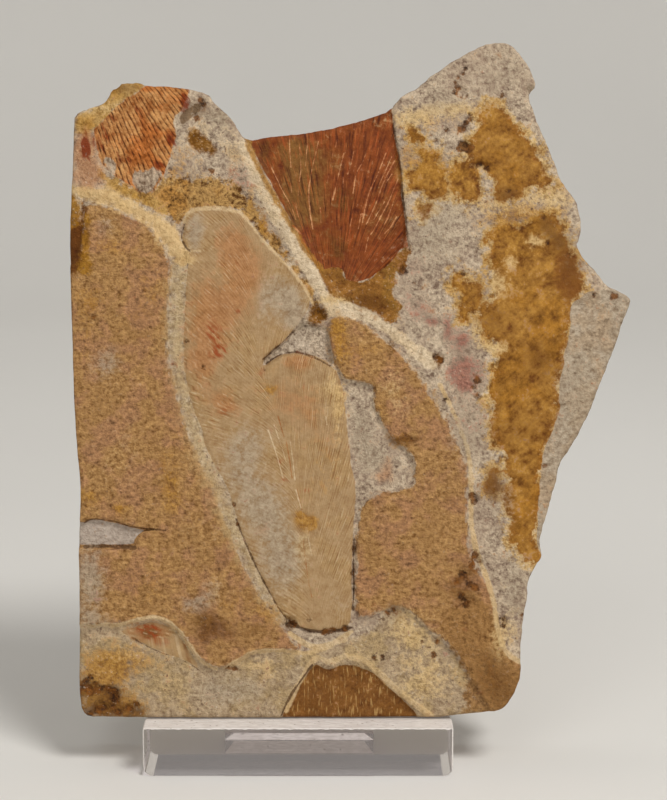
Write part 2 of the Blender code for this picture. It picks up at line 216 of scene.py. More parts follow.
BOTTOM_GOLD = [
    (277, 730), (289, 701), (301, 683), (315, 662), (327, 672), (345, 664), (372, 671), (393, 692),
    (410, 706), (426, 730),
]
LEFT_CHIP = [
    (60, 523), (84, 523), (92, 519), (118, 522), (132, 528), (160, 530), (142, 532), (135, 540),
    (135, 549), (60, 549),
]
FACET_LINE = [
    (575, 262), (586, 285), (571, 300), (570, 340), (563, 360), (559, 400), (552, 425), (545, 450),
    (543, 480), (540, 500),
]
LEDGES = [
    (PLATE_LEFT, PLATE_LEVEL), (PLATE_RIGHT, PLATE_LEVEL), (LEAF_PAIR, LEAF_LEVEL),
    (RED_LEAF, RED_LEAF_LEVEL), (GAP_BETWEEN_LEAVES, GAP_LEVEL), (BOTTOM_GOLD, GOLD_LEVEL),
    (LEFT_CHIP, CHIP_LEVEL),
]

# Raised lines: points, half width in pixels, height in metres
RIDGES = [
    ([(240, 148), (262, 188), (285, 230), (305, 262), (325, 292)], 11, 0.0007),
    ([(330, 308), (352, 310), (376, 322), (404, 346), (430, 376), (448, 408), (466, 446)], 8, 0.0004),
    ([(74, 188), (103, 195), (130, 207), (160, 226), (180, 250)], 7, 0.0005),
    ([(286, 712), (302, 676), (317, 656), (345, 652), (376, 664), (400, 690), (428, 714)], 5, 0.0004),
    ([(120, 628), (152, 619), (176, 627), (192, 650), (214, 669)], 4, 0.0003),
    ([(70, 627), (100, 625), (120, 625)], 4, 0.0002),
    ([(228, 668), (250, 654), (290, 652), (322, 650)], 4, 0.0002),
]

# Pits: centre and radius in pixels, depth in metres
PITS = [
    (192, 112, 12, 0.0010), (203, 140, 14, 0.0005), (315, 314, 12, 0.0006), (88, 686, 9, 0.0008),
    (112, 694, 9, 0.0010), (100, 710, 11, 0.0010), (132, 709, 8, 0.0008), (477, 564, 9, 0.0008),
    (466, 575, 9, 0.0006), (468, 604, 10, 0.0009), (503, 623, 6, 0.0008), (522, 616, 5, 0.0008),
    (440, 360, 8, 0.0007), (464, 127, 7, 0.0007), (466, 146, 7, 0.0007), (461, 91, 7, 0.0006),
    (481, 165, 7, 0.0006), (475, 499, 6, 0.0007), (291, 622, 6, 0.0008), (530, 90, 6, 0.0012),
]

# The ribbed fragment's ribs fan out from this pixel, this many radians apart
RIB_FOCUS = (43.7, -57.5)
RIB_ANGLE = 0.0195
RIB_HEIGHT = 0.00011
RIBBED_FRAGMENT = [
    (144, 84), (137, 93), (128, 96), (121, 102), (111, 111), (104, 119), (97, 124), (93, 130),
    (96, 143), (99, 158), (104, 167), (115, 175), (127, 184), (139, 191), (151, 193), (158, 186),
    (164, 171), (171, 152), (175, 140), (176, 132), (172, 121), (174, 114), (180, 112), (184, 102),
    (188, 97), (189, 86), (180, 84), (160, 82),
]

# The main leaf's midrib, from its foot to its tip, and how its veins leave it
MIDRIB = [
    (313, 618), (308, 580), (304, 545), (299, 505), (290, 462), (284, 437), (275, 411), (262, 374),
    (257, 345), (257, 300), (256, 250), (250, 200),
]
MIDRIB_LENGTH = 400
VEIN_REACH = 40
VEIN_STEP = 4.1
VEIN_RISE_LEFT = (0.50, 1.05)
VEIN_RISE_RIGHT = (1.30, 2.20)
VEIN_BEND = 0.55
VEIN_HEIGHT = 0.000012

# The red leaf's veins fan out from this pixel
FAN_FOCUS = (334, 318)
FAN_ANGLE = 0.017

# Patches of one finish each
PATCHES = {
    "brown_strip": [[
        (100, 172), (118, 178), (150, 188), (162, 178), (180, 176), (200, 178), (222, 178),
        (240, 186), (254, 205), (268, 228), (286, 252), (306, 278), (320, 296), (322, 303),
        (314, 304), (300, 284), (284, 262), (264, 240), (250, 222), (240, 210), (222, 206),
        (198, 206), (188, 211), (182, 222), (174, 220), (166, 214), (150, 206), (136, 200),
        (118, 186),
    ]],
    "mustard": [
        [(96, 166), (106, 176), (120, 183), (136, 192), (152, 197), (168, 210), (160, 214),
         (140, 203), (125, 196), (110, 189), (100, 178)],
        [(73, 114), (98, 104), (106, 99), (112, 86), (122, 78), (146, 80), (144, 88), (130, 96),
         (118, 104), (104, 120), (96, 130), (84, 134), (73, 134)],
    ],
    "cream_ledge": [[
        (66, 181), (88, 187), (103, 188), (120, 194), (136, 204), (152, 212), (166, 220), (178, 231),
        (182, 240), (188, 252), (198, 258), (190, 268), (178, 264), (166, 250), (158, 240),
        (150, 227), (135, 219), (118, 211), (103, 204), (85, 200), (66, 191),
    ]],
    "pale_band": [[
        (176, 256), (188, 262), (186, 300), (184, 340), (187, 380), (193, 407), (205, 440),
        (222, 478), (236, 518), (252, 556), (270, 592), (290, 620), (286, 628), (262, 598),
        (240, 558), (222, 522), (206, 484), (192, 448), (181, 412), (173, 370), (169, 330),
        (170, 290),
    ]],
    "leaf": [
        [(184, 224), (187, 214), (193, 210), (200, 208.5), (222, 208), (240, 212), (252, 226),
         (262, 240), (279, 257), (295, 274), (304, 287), (312, 302), (305, 314), (296, 327),
         (286, 338), (272, 351), (263, 360), (262, 368), (276, 356), (292, 352), (310, 354),
         (325, 361), (337, 371), (342, 382), (345, 410), (349, 440), (351, 468), (357, 490),
         (354, 515), (352, 545), (352, 600), (350, 627), (335, 631), (320, 632), (300, 629),
         (288, 620), (281, 613), (269, 592), (257, 569), (245, 543), (236, 519), (229, 492),
         (221, 475), (212, 462), (204, 443), (201, 427), (192, 407), (187, 385), (183, 360),
         (184, 320), (186, 280), (190, 252), (185, 246), (181, 236)],
        [(118, 632), (132, 628), (150, 622), (168, 626), (180, 638), (190, 654), (202, 672),
         (188, 662), (172, 656), (150, 648), (130, 638)],
    ],
    "white_ridge": [[
        (236, 138), (245, 141), (254, 158), (264, 180), (279, 205), (289, 222), (302, 238),
        (309, 255), (318, 270), (323, 283), (330, 299), (350, 303), (370, 311), (386, 321),
        (401, 331), (416, 343), (431, 352), (440, 368), (432, 372), (415, 358), (400, 346),
        (385, 332), (370, 324), (350, 315), (329, 318), (324, 308), (318, 294), (306, 277),
        (298, 262), (283, 240), (272, 222), (262, 205), (248, 178),
    ]],
    "red_leaf": [[
        (247.5, 120), (250, 145), (262, 166), (276, 192), (294, 226), (304, 246), (312, 258),
        (321, 270), (334, 265), (343, 268), (346, 281), (367, 281), (380, 270), (392, 261),
        (403, 246), (409, 248), (407, 236), (405, 215), (402, 200), (401, 170), (397, 145),
        (393, 125), (391, 95),
    ]],
    "mustard_below": [[
        (308, 250), (322, 268), (334, 264), (344, 268), (347, 280), (367, 280), (380, 268),
        (400, 248), (412, 246), (410, 262), (398, 272), (392, 290), (400, 305), (396, 322),
        (388, 326), (376, 314), (362, 306), (345, 300), (332, 298), (324, 284),
    ]],
    "gold_film": [
        [(478, 122), (480, 108), (488, 102), (497, 103), (508, 118), (520, 128), (527, 137),
         (536, 152), (541, 160), (550, 176), (552, 186), (540, 190), (524, 184), (520, 198),
         (500, 202), (494, 192), (496, 176), (484, 168), (472, 160), (468, 146), (474, 134)],
        [(456, 162), (470, 158), (478, 170), (482, 190), (472, 202), (462, 202), (452, 190),
         (450, 172)],
        [(408, 128), (420, 132), (424, 142), (412, 142)],
        [(418, 146), (440, 148), (436, 160), (446, 178), (440, 200), (430, 200), (420, 186),
         (406, 188), (408, 172), (424, 166)],
        [(418, 208), (432, 204), (432, 212), (420, 220)],
        [(500, 222), (520, 228), (540, 214), (556, 214), (566, 228), (570, 250), (578, 268),
         (585, 286), (582, 298), (571, 303), (570, 340), (564, 352), (565, 362), (561, 378),
         (559, 400), (562, 408), (555, 425), (551, 438), (544, 448), (543, 462), (541, 480),
         (540, 510), (536, 545), (541, 560), (537, 566), (527, 560), (514, 548), (508, 530),
         (512, 520), (508, 510), (502, 498), (511, 481), (504, 476), (507, 461), (499, 450),
         (492, 440), (491, 410), (494, 380), (496, 358), (502, 350), (498, 344), (486, 338),
         (476, 322), (474, 306), (480, 300), (492, 306), (496, 296), (492, 276), (494, 262),
         (488, 250), (494, 238), (482, 244)],
        [(452, 276), (460, 270), (466, 280), (480, 282), (484, 300), (478, 312), (468, 306),
         (458, 294)],
        [(494, 468), (497, 470), (499, 488), (497, 500), (490, 494), (484, 480)],
        [(456, 310), (466, 306), (470, 318), (462, 324)],
    ],
    "reddish_blob": [[
        (556, 250), (570, 250), (577, 262), (585, 284), (582, 297), (571, 302), (562, 296),
        (556, 276),
    ]],
    "ribbed": [RIBBED_FRAGMENT],
    "rib_white": [
        [(131, 182), (134, 172), (140, 168), (147, 171), (152, 164), (158, 168), (161, 172),
         (160, 180), (153, 191), (146, 192), (138, 190)],
        [(103, 158), (110, 157), (115, 163), (115, 172), (113, 177), (106, 170)],
    ],
    "facet_right": [[
        (571, 303), (583, 298), (589, 290), (620, 289), (642, 296), (632, 330), (600, 402),
        (564, 466), (552, 520), (546, 560), (538, 552), (538, 510), (541, 480), (543, 462),
        (544, 448), (551, 438), (555, 425), (562, 408), (559, 400), (561, 378), (565, 362),
        (564, 352), (570, 340),
    ]],
    # The left facet's dark brown is partly its own colour and partly painted shade of a face turned
    # from the light
    "left_facet_brown_and_shade": [
        [(62, 224), (80, 222), (80, 200), (85, 198), (85, 228), (82, 262), (78, 272), (62, 275)],
    ],
    "mustard_margin": [
        [(62, 196), (74, 194), (82, 200), (80, 222), (72, 230), (62, 226)],
        [(84, 214), (90, 216), (90, 240), (86, 262), (94, 262), (92, 276), (74, 274), (82, 252)],
    ],
    "dark_brown": [
        [(187, 127), (193, 125), (203, 134), (215, 145), (217, 150), (214, 154), (205, 153),
         (191, 146), (188, 141)],
        [(313, 303), (317, 300), (326, 310), (327, 316), (320, 326), (308, 325), (304, 318),
         (311, 308)],
        [(434, 354), (440, 353), (444, 360), (440, 368), (434, 364)],
        [(388, 345), (392, 340), (396, 348), (392, 352)],
    ],
    "gap": [GAP_BETWEEN_LEAVES],
    "chip": [[
        (60, 524), (84, 523), (89, 520), (95, 519), (117, 523), (131, 528), (146, 530), (140, 533),
        (134, 540), (134, 545), (60, 545),
    ]],
    "bottom_gold": [BOTTOM_GOLD],
    "lower_cream": [[
        (66, 626), (115, 624), (128, 623), (140, 619), (156, 616), (175, 627), (188, 640),
        (196, 656), (212, 666), (228, 667), (243, 658), (255, 651), (290, 651), (303, 655),
        (322, 650), (345, 640), (372, 632), (386, 612), (398, 604), (412, 612), (430, 632),
        (452, 650), (470, 680), (486, 706), (500, 730), (60, 730),
    ]],
    # The notch's grey-brown is painted shade in the small step at the top edge
    "notch_painted_shade": [[
        (177, 118), (183, 110), (190, 104), (197, 101), (202, 104), (200, 110), (193, 115),
        (187, 121), (182, 125),
    ]],
    "corner_brown": [[
        (438, 610), (462, 604), (480, 600), (492, 612), (497, 630), (501, 645), (511, 664),
        (526, 670), (524, 690), (508, 712), (478, 716), (462, 712), (470, 680), (455, 650),
        (440, 634),
    ]],
}

# Thin lines of one finish each: points, half width in pixels
LINES = {
    "cream_line": [
        ([(184, 222), (187, 214), (193, 210), (200, 208.5), (222, 208), (240, 212)], 2.0),
        ([(240, 212), (252, 226), (262, 240), (279, 257), (295, 274), (304, 287), (312, 302)], 1.5),
        ([(440, 385), (452, 408), (462, 432), (470, 456), (472, 490), (471, 520)], 2.2),
        ([(471, 520), (476, 552), (492, 590), (500, 640), (508, 655), (524, 664)], 2.6),
        ([(70, 627), (100, 626), (118, 625), (128, 623), (140, 619), (156, 616), (170, 623)], 2.2),
        ([(170, 623), (182, 634), (192, 650), (204, 664), (216, 669)], 2.2),
        ([(228, 667), (243, 658), (255, 651), (290, 651), (303, 655), (322, 650), (345, 640)], 2.2),
        ([(290, 634), (300, 641), (310, 647), (322, 648), (335, 642), (352, 632)], 2.4),
        ([(286, 712), (296, 688), (312, 662), (319, 657), (330, 664), (346, 656)], 2.8),
        ([(346, 656), (364, 660), (380, 674), (398, 692), (414, 704), (432, 717)], 3.4),
        ([(190, 251), (200, 251)], 0.7),
    ],
    "golden_border": [
        ([(246, 132), (252, 156), (263, 176), (277, 201), (293, 228), (305, 249), (320, 268)], 2.6),
    ],
    # Dark lines along the feet of ledges and the leaves' margins are painted shadow of the steps there
    "painted_shadow_line": [
        ([(184, 224), (180, 236), (185, 247), (190, 251)], 0.7),
        ([(393, 122), (397, 145), (401, 168), (403, 200), (406, 215), (407, 236), (410, 249)], 0.8),
        ([(84, 547), (100, 546), (120, 547), (135, 548)], 1.8),
        ([(84, 523), (89, 519.5), (95, 518.5), (117, 522), (131, 527.5), (165, 530.5)], 0.7),
        ([(304, 318), (290, 335), (276, 348), (263, 359)], 0.8),
        ([(266, 364), (276, 356), (290, 351.5), (304, 353), (318, 359), (330, 366)], 0.9),
        ([(289, 622), (300, 629), (320, 633), (340, 631), (352, 628)], 1.6),
        ([(354, 540), (353, 560), (354, 580), (353, 610)], 0.9),
        ([(281, 717), (288, 700), (300, 682), (312, 666)], 1.2),
        ([(236, 519), (245, 543), (257, 569), (269, 592), (281, 613), (287, 619)], 0.7),
        ([(131, 638), (150, 649), (172, 657), (188, 663), (202, 673)], 0.5),
    ],
    "red_vein": [
        ([(289.4, 135), (289.4, 146), (290.7, 166)], 0.7),
        ([(299.6, 146), (299.9, 158), (301.2, 167), (298.9, 182), (298, 195)], 0.6),
        ([(307.6, 138), (306.5, 152), (305.4, 166)], 0.6),
        ([(318.4, 140), (315.7, 152), (312.6, 164), (309.6, 181), (308.3, 190), (309.3, 204),
          (310.6, 218)], 0.8),
        ([(332.8, 152), (330.2, 167), (327.2, 182)], 0.6),
        ([(344, 152), (340.9, 164), (337.1, 181), (332.5, 199)], 0.7),
        ([(343.2, 176), (343.2, 187)], 0.6),
        ([(354, 150), (351.7, 161), (347.8, 173)], 0.5),
        ([(366.2, 152), (363.1, 161), (357, 170), (354.3, 182), (353.2, 193)], 0.8),
        ([(375.4, 155), (370.8, 164), (367.7, 173)], 0.5),
        ([(386.1, 152), (381.5, 164), (376.9, 176), (370.8, 187), (366.2, 202), (362.4, 222)], 0.8),
        ([(392.2, 155), (384.6, 172), (379.2, 184)], 0.6),
        ([(394.5, 160), (383, 182), (376.9, 201), (371.5, 213), (366.2, 224)], 0.7),
        ([(392.2, 173), (386.1, 182)], 0.6),
        ([(398.3, 178), (394.5, 187), (389.9, 199), (383, 212), (375.4, 227), (370.8, 234)], 0.8),
        ([(384.6, 201), (379.2, 210), (373.8, 219)], 0.7),
        ([(393.7, 201), (389.1, 215), (383.8, 225)], 0.6),
        ([(396.8, 216), (390.7, 227), (384.6, 233)], 0.7),
        ([(351.7, 218), (349.4, 230), (347.8, 244)], 0.6),
        ([(361, 213), (358.5, 228)], 0.5),
        ([(368.5, 236), (365.4, 251)], 0.5),
        ([(290.4, 182), (291.5, 192)], 0.6),
        ([(270.6, 166), (275.9, 176), (282, 190), (289.7, 202), (295.8, 219)], 0.7),
        ([(292.7, 225), (300.4, 233)], 1.0),
        ([(295.8, 205), (298.9, 219)], 0.6),
        ([(310.3, 212), (312.6, 228)], 0.6),
        ([(320.3, 207), (321, 222)], 0.8),
        ([(337, 138), (335.6, 146)], 0.5),
    ],
    "midrib_line": [
        ([(278, 416), (284, 437)], 0.8),
        ([(286, 440), (290, 462), (292, 478)], 0.8),
        ([(297, 488), (302, 510)], 0.6),
        ([(303, 540), (308, 580), (312, 598)], 0.5),
    ],
    "pale_vein": [
        ([(268, 430), (276, 452), (283, 478)], 0.9),
        ([(274, 425), (282, 448), (286, 462)], 0.6),
        ([(290, 440), (293, 462), (295, 480)], 0.6),
        ([(296, 490), (301, 508)], 0.8),
        ([(308, 537), (312, 556)], 0.7),
        ([(326, 417), (327, 425)], 0.9),
    ],
}

# How far the strokes' finish stays inside their lines, in millimetres
STROKE_NARROWING = -0.07

# Small dark iron spots: centre and radius in pixels, and how far around in metres they are felt
SPOT_REACH = 0.003
IRON_SPOTS = [
    (466, 68, 2.2), (463, 74, 2.2), (460, 78, 2.4), (456, 82, 2.0), (459, 88, 3.0), (456, 92, 2.4),
    (462, 95, 2.6), (467, 96, 2.4), (502, 95, 2.0), (467, 122, 3.6), (463, 127, 4.2),
    (470, 118, 2.6), (463, 145, 4.6), (469, 147, 4.4), (460, 148, 3.2), (481, 164, 3.2),
    (486, 168, 2.6), (478, 166, 2.2), (432, 134, 2.0), (436, 141, 2.2), (447, 131, 2.4),
    (200, 99, 3.0), (196, 117, 3.0), (203, 104, 2.6), (75, 114, 2.0), (171, 169, 2.4),
    (211, 171, 2.2), (127, 279, 1.8), (144, 290, 1.8), (94, 318, 2.6), (187, 342, 1.6),
    (202, 367, 1.8), (265, 370, 1.9), (403, 270, 3.0), (400, 274, 2.2), (414, 283, 2.6),
    (421, 288, 2.4), (437, 358, 3.4), (441, 362, 3.0), (477, 380, 3.0), (474, 388, 3.2),
    (478, 394, 3.0), (446, 400, 2.4), (455, 414, 2.0), (464, 273, 2.4), (472, 497, 3.0),
    (475, 501, 2.6), (545, 466, 1.6), (616, 296, 3.0), (595, 294, 2.2), (475, 556, 4.0),
    (480, 562, 3.6), (472, 566, 4.0), (478, 570, 3.4), (463, 576, 5.0), (457, 582, 3.2),
    (470, 584, 3.0), (476, 588, 3.2), (480, 594, 2.4), (462, 596, 3.2), (466, 604, 3.8),
    (474, 600, 2.6), (458, 606, 2.4), (504, 620, 3.2), (503, 627, 3.0), (523, 616, 2.6),
    (289, 619, 2.6), (292, 624, 3.2), (287, 626, 2.4), (325, 631, 3.0), (334, 630, 2.8),
    (345, 629, 2.6), (374, 658, 2.0), (382, 658, 2.2), (422, 643, 2.0), (436, 643, 2.0),
    (434, 655, 1.8), (409, 675, 1.8), (388, 614, 2.4), (394, 610, 2.6), (382, 620, 2.2),
    (84, 681, 3.4), (91, 678, 3.0), (95, 684, 2.6), (82, 689, 4.0), (89, 691, 4.4), (98, 690, 4.2),
    (107, 690, 4.4), (113, 693, 4.6), (114, 700, 4.4), (112, 708, 4.2), (104, 708, 3.4),
    (97, 712, 3.6), (90, 714, 3.0), (118, 713, 3.2), (129, 709, 3.0), (135, 705, 2.4),
    (80, 700, 2.4), (228, 668, 1.8), (236, 671, 1.6), (353, 573, 2.0), (354, 590, 2.0),
    (353, 549, 1.8), (237, 524, 1.6), (234, 505, 1.3), (310, 620, 1.4), (412, 438, 1.6),
    (405, 434, 1.6), (440, 460, 1.5), (446, 468, 1.5), (569, 256, 2.6), (545, 218, 2.2),
    (548, 242, 2.4), (510, 190, 2.4),
]

# Soft stains: centre and half sizes in pixels, strength
STAINS = {
    "orange_tint": [
        (232, 245, 15, 20, 0.9), (250, 268, 16, 20, 0.6), (214, 300, 24, 26, 0.6),
        (208, 335, 20, 26, 0.8), (200, 365, 14, 14, 0.7), (228, 408, 14, 10, 0.7),
        (214, 395, 16, 12, 0.5), (286, 400, 22, 22, 0.45), (298, 362, 14, 8, 0.8),
        (312, 410, 16, 26, 0.4), (330, 450, 12, 20, 0.3), (242, 300, 20, 24, 0.4),
        (389, 470, 8, 12, 0.6), (380, 478, 8, 8, 0.5), (112, 495, 20, 10, 0.2),
        (84, 148, 13, 17, 1.2), (88, 177, 16, 12, 0.9), (148, 633, 18, 9, 1.0), (262, 530, 8, 8, 0.35),
    ],
    "red_tint": [
        (213, 332, 7, 6, 0.7), (222, 350, 9, 5, 0.7), (213, 356, 8, 5, 0.6), (226, 410, 8, 4, 0.7),
        (208, 322, 6, 6, 0.4), (204, 375, 7, 4, 0.6), (238, 312, 3, 3, 0.6), (262, 372, 3, 5, 1.0),
        (280, 460, 3, 3, 0.9), (284, 480, 5, 3, 0.8), (305, 491, 5, 3, 0.8), (150, 633, 9, 7, 1.1),
        (162, 643, 8, 5, 0.9), (140, 630, 8, 5, 0.6), (85, 147, 5, 11, 1.6), (184, 100, 5, 11, 1.1),
        (171, 138, 6, 8, 1.0), (160, 164, 9, 5, 0.8), (101, 140, 6, 12, 0.8),
        (140, 108, 8, 12, 0.5), (118, 150, 8, 12, 0.5), (134, 160, 9, 9, 0.45),
        (110, 122, 7, 9, 0.45), (150, 128, 9, 11, 0.4), (300, 352, 6, 3, 0.5),
        (306, 388, 5, 4, 0.35), (216, 340, 10, 14, 0.35), (240, 262, 10, 12, 0.25),
    ],
    "grey_tint": [
        (195, 232, 9, 18, 0.9), (284, 296, 18, 24, 0.8), (296, 316, 10, 12, 0.8),
        (262, 300, 8, 30, 0.4), (240, 470, 24, 30, 0.55), (262, 510, 24, 26, 0.7),
        (282, 560, 22, 34, 0.8), (250, 440, 20, 18, 0.4), (340, 600, 14, 30, 0.3),
        (362, 430, 10, 24, 0.9), (376, 460, 16, 16, 0.7), (107, 364, 16, 16, 0.55),
        (90, 580, 14, 34, 0.85), (92, 620, 16, 8, 0.5), (196, 604, 16, 10, 0.6),
        (215, 588, 12, 10, 0.4), (106, 226, 12, 14, 0.4), (172, 300, 6, 26, 0.3),
        (170, 360, 6, 24, 0.3), (500, 75, 40, 26, 0.5),
        (440, 100, 20, 16, 0.5), (430, 240, 26, 26, 0.7), (450, 210, 20, 14, 0.4),
        (470, 430, 20, 30, 0.7), (500, 500, 16, 30, 0.5), (580, 400, 24, 70, 0.6),
        (515, 590, 12, 30, 0.7), (230, 690, 40, 18, 0.7),
        (222, 118, 14, 10, 0.8), (215, 114, 10, 5, 0.8),
        (390, 620, 14, 10, 0.6), (446, 654, 10, 6, 0.6),
    ],
    "mauve_tint": [
        (433, 321, 8, 4, 0.8), (448, 330, 5, 12, 0.7), (462, 340, 8, 9, 0.8),
        (465, 365, 10, 10, 0.8), (466, 384, 10, 8, 0.9), (452, 372, 6, 10, 0.5),
        (418, 310, 12, 10, 0.4), (408, 300, 8, 8, 0.3), (480, 372, 6, 10, 0.4),
        (96, 600, 8, 16, 0.25), (236, 172, 16, 14, 0.3), (246, 186, 10, 10, 0.3),
        (470, 420, 14, 20, 0.3), (555, 186, 14, 8, 0.3), (446, 654, 8, 5, 0.3),
        (400, 250, 10, 12, 0.2), (412, 268, 16, 10, 0.3),
    ],
    "ochre_stain": [
        (340, 340, 8, 22, 0.7), (334, 325, 8, 8, 0.6), (372, 350, 14, 10, 0.35),
        (352, 356, 10, 12, 0.3), (382, 408, 8, 12, 0.4), (400, 440, 12, 8, 0.6),
        (432, 400, 14, 14, 0.3), (394, 360, 14, 14, 0.2), (170, 470, 10, 30, 0.45),
        (172, 500, 10, 20, 0.35), (88, 497, 12, 8, 0.7), (120, 509, 8, 6, 0.8),
        (150, 290, 14, 22, 0.35), (92, 300, 12, 16, 0.4), (112, 246, 20, 12, 0.4),
        (85, 330, 8, 40, 0.3), (150, 590, 24, 20, 0.3), (270, 612, 16, 14, 0.4),
        (228, 600, 20, 16, 0.3), (120, 330, 16, 18, 0.2), (415, 160, 14, 16, 0.45),
        (440, 172, 20, 24, 0.45), (470, 180, 16, 20, 0.4), (520, 240, 36, 20, 0.5),
        (500, 216, 20, 10, 0.5), (530, 210, 22, 12, 0.55), (488, 106, 16, 8, 0.5),
        (430, 120, 26, 8, 0.45), (462, 282, 20, 12, 0.5), (470, 310, 14, 12, 0.5),
        (402, 180, 10, 30, 0.3), (120, 660, 34, 14, 0.75), (106, 676, 20, 10, 0.8),
        (96, 700, 18, 16, 0.9), (124, 706, 22, 12, 0.7), (262, 680, 8, 10, 0.4),
        (300, 516, 6, 5, 1.2), (311, 523, 6, 6, 1.1), (303, 526, 10, 7, 0.7), (271, 390, 6, 6, 1.0),
        (340, 400, 6, 30, 0.45), (325, 470, 14, 30, 0.3), (88, 148, 10, 16, 0.3),
        (178, 205, 14, 10, 0.2), (180, 150, 10, 20, 0.25), (196, 170, 16, 12, 0.35),
        (175, 172, 8, 8, 0.4), (560, 210, 10, 8, 0.5), (110, 88, 8, 8, 0.6), (86, 124, 12, 8, 0.5),
        (250, 200, 5, 12, 0.8), (262, 226, 6, 12, 0.7), (384, 300, 12, 10, 0.5),
        (402, 330, 8, 8, 0.4),
    ],
    "umber_stain": [
        (366, 300, 12, 10, 0.7), (384, 304, 10, 8, 0.6), (250, 595, 14, 12, 0.3),
        (206, 620, 16, 10, 0.35), (205, 636, 12, 20, 0.35), (250, 632, 26, 10, 0.35),
        (160, 480, 8, 26, 0.25), (218, 560, 16, 12, 0.3), (402, 440, 16, 5, 0.9),
        (360, 500, 14, 6, 0.4), (445, 430, 16, 20, 0.2), (370, 560, 10, 40, 0.25),
        (455, 500, 12, 12, 0.3), (440, 590, 30, 10, 0.25), (465, 580, 14, 24, 0.5),
        (505, 690, 14, 20, 0.5), (488, 670, 12, 24, 0.5), (330, 345, 6, 22, 0.3),
        (344, 200, 8, 14, 0.9), (340, 250, 7, 10, 0.8), (264, 152, 6, 18, 0.9),
        (330, 236, 10, 14, 0.4), (310, 244, 8, 14, 0.4), (540, 360, 18, 20, 0.5),
        (572, 270, 12, 24, 0.5), (508, 194, 14, 8, 0.7), (546, 224, 10, 10, 0.6),
        (560, 240, 12, 10, 0.6), (492, 320, 18, 16, 0.4), (480, 290, 12, 10, 0.4),
        (520, 430, 26, 14, 0.25), (494, 486, 10, 16, 0.8), (84, 690, 10, 12, 0.8),
        (110, 698, 12, 12, 0.9), (100, 711, 22, 6, 0.9), (132, 712, 14, 6, 0.8),
        (86, 312, 14, 18, 0.25), (280, 236, 8, 12, 0.5), (256, 206, 12, 10, 0.3),
        (200, 200, 26, 12, 0.2), (130, 330, 22, 34, 0.22), (100, 410, 16, 40, 0.2),
        (190, 540, 22, 26, 0.22), (420, 530, 22, 40, 0.22), (150, 430, 14, 22, 0.2),
        (215, 630, 26, 16, 0.3), (410, 385, 12, 16, 0.3), (180, 400, 8, 30, 0.2),
        (100, 620, 12, 6, 0.3), (395, 610, 8, 10, 0.5), (340, 634, 16, 5, 0.3),
        (460, 650, 14, 14, 0.25), (124, 88, 16, 6, 0.5), (148, 633, 14, 7, 0.75),
        (180, 116, 6, 6, 0.4), (222, 110, 16, 6, 0.3), (204, 106, 6, 6, 0.5),
    ],
    "cream_stain": [
        (400, 622, 20, 12, 0.7), (412, 640, 22, 12, 0.5), (430, 668, 24, 20, 0.55),
        (420, 690, 24, 10, 0.4), (265, 668, 20, 14, 0.5), (180, 690, 30, 16, 0.3),
        (130, 654, 24, 12, 0.3), (400, 400, 16, 20, 0.3), (392, 380, 12, 12, 0.35),
        (412, 118, 20, 9, 0.8), (452, 108, 26, 8, 0.8), (540, 196, 24, 8, 0.5),
        (490, 208, 40, 8, 0.5), (476, 330, 6, 12, 0.7), (494, 348, 14, 6, 0.9),
        (498, 282, 10, 14, 0.8), (536, 240, 12, 8, 0.7), (512, 262, 8, 6, 0.6),
        (330, 300, 24, 4, 0.7), (250, 196, 8, 14, 0.4), (236, 160, 10, 18, 0.4),
        (225, 100, 12, 6, 0.4), (120, 450, 24, 40, 0.2), (196, 540, 20, 40, 0.2),
        (500, 640, 10, 24, 0.6), (512, 622, 10, 16, 0.4), (300, 548, 10, 16, 0.6),
        (286, 590, 14, 16, 0.2), (560, 200, 14, 12, 0.5), (548, 150, 8, 30, 0.4),
        (80, 128, 8, 8, 0.4), (100, 108, 14, 5, 0.7), (338, 420, 5, 40, 0.4),
        (332, 392, 14, 20, 0.5), (366, 340, 6, 6, 0.3), (215, 130, 24, 20, 0.3),
    ],
    "olive_tint": [
        (296, 150, 18, 14, 0.9), (300, 180, 20, 24, 0.9), (312, 208, 16, 20, 0.7),
        (330, 160, 14, 20, 0.35), (386, 195, 18, 26, 0.35), (378, 230, 22, 16, 0.35),
        (395, 160, 6, 20, 0.3), (296, 214, 8, 16, 0.6), (340, 275, 18, 8, 0.5),
        (400, 260, 8, 10, 0.3), (465, 576, 12, 10, 0.5), (195, 232, 8, 12, 0.3),
    ],
}

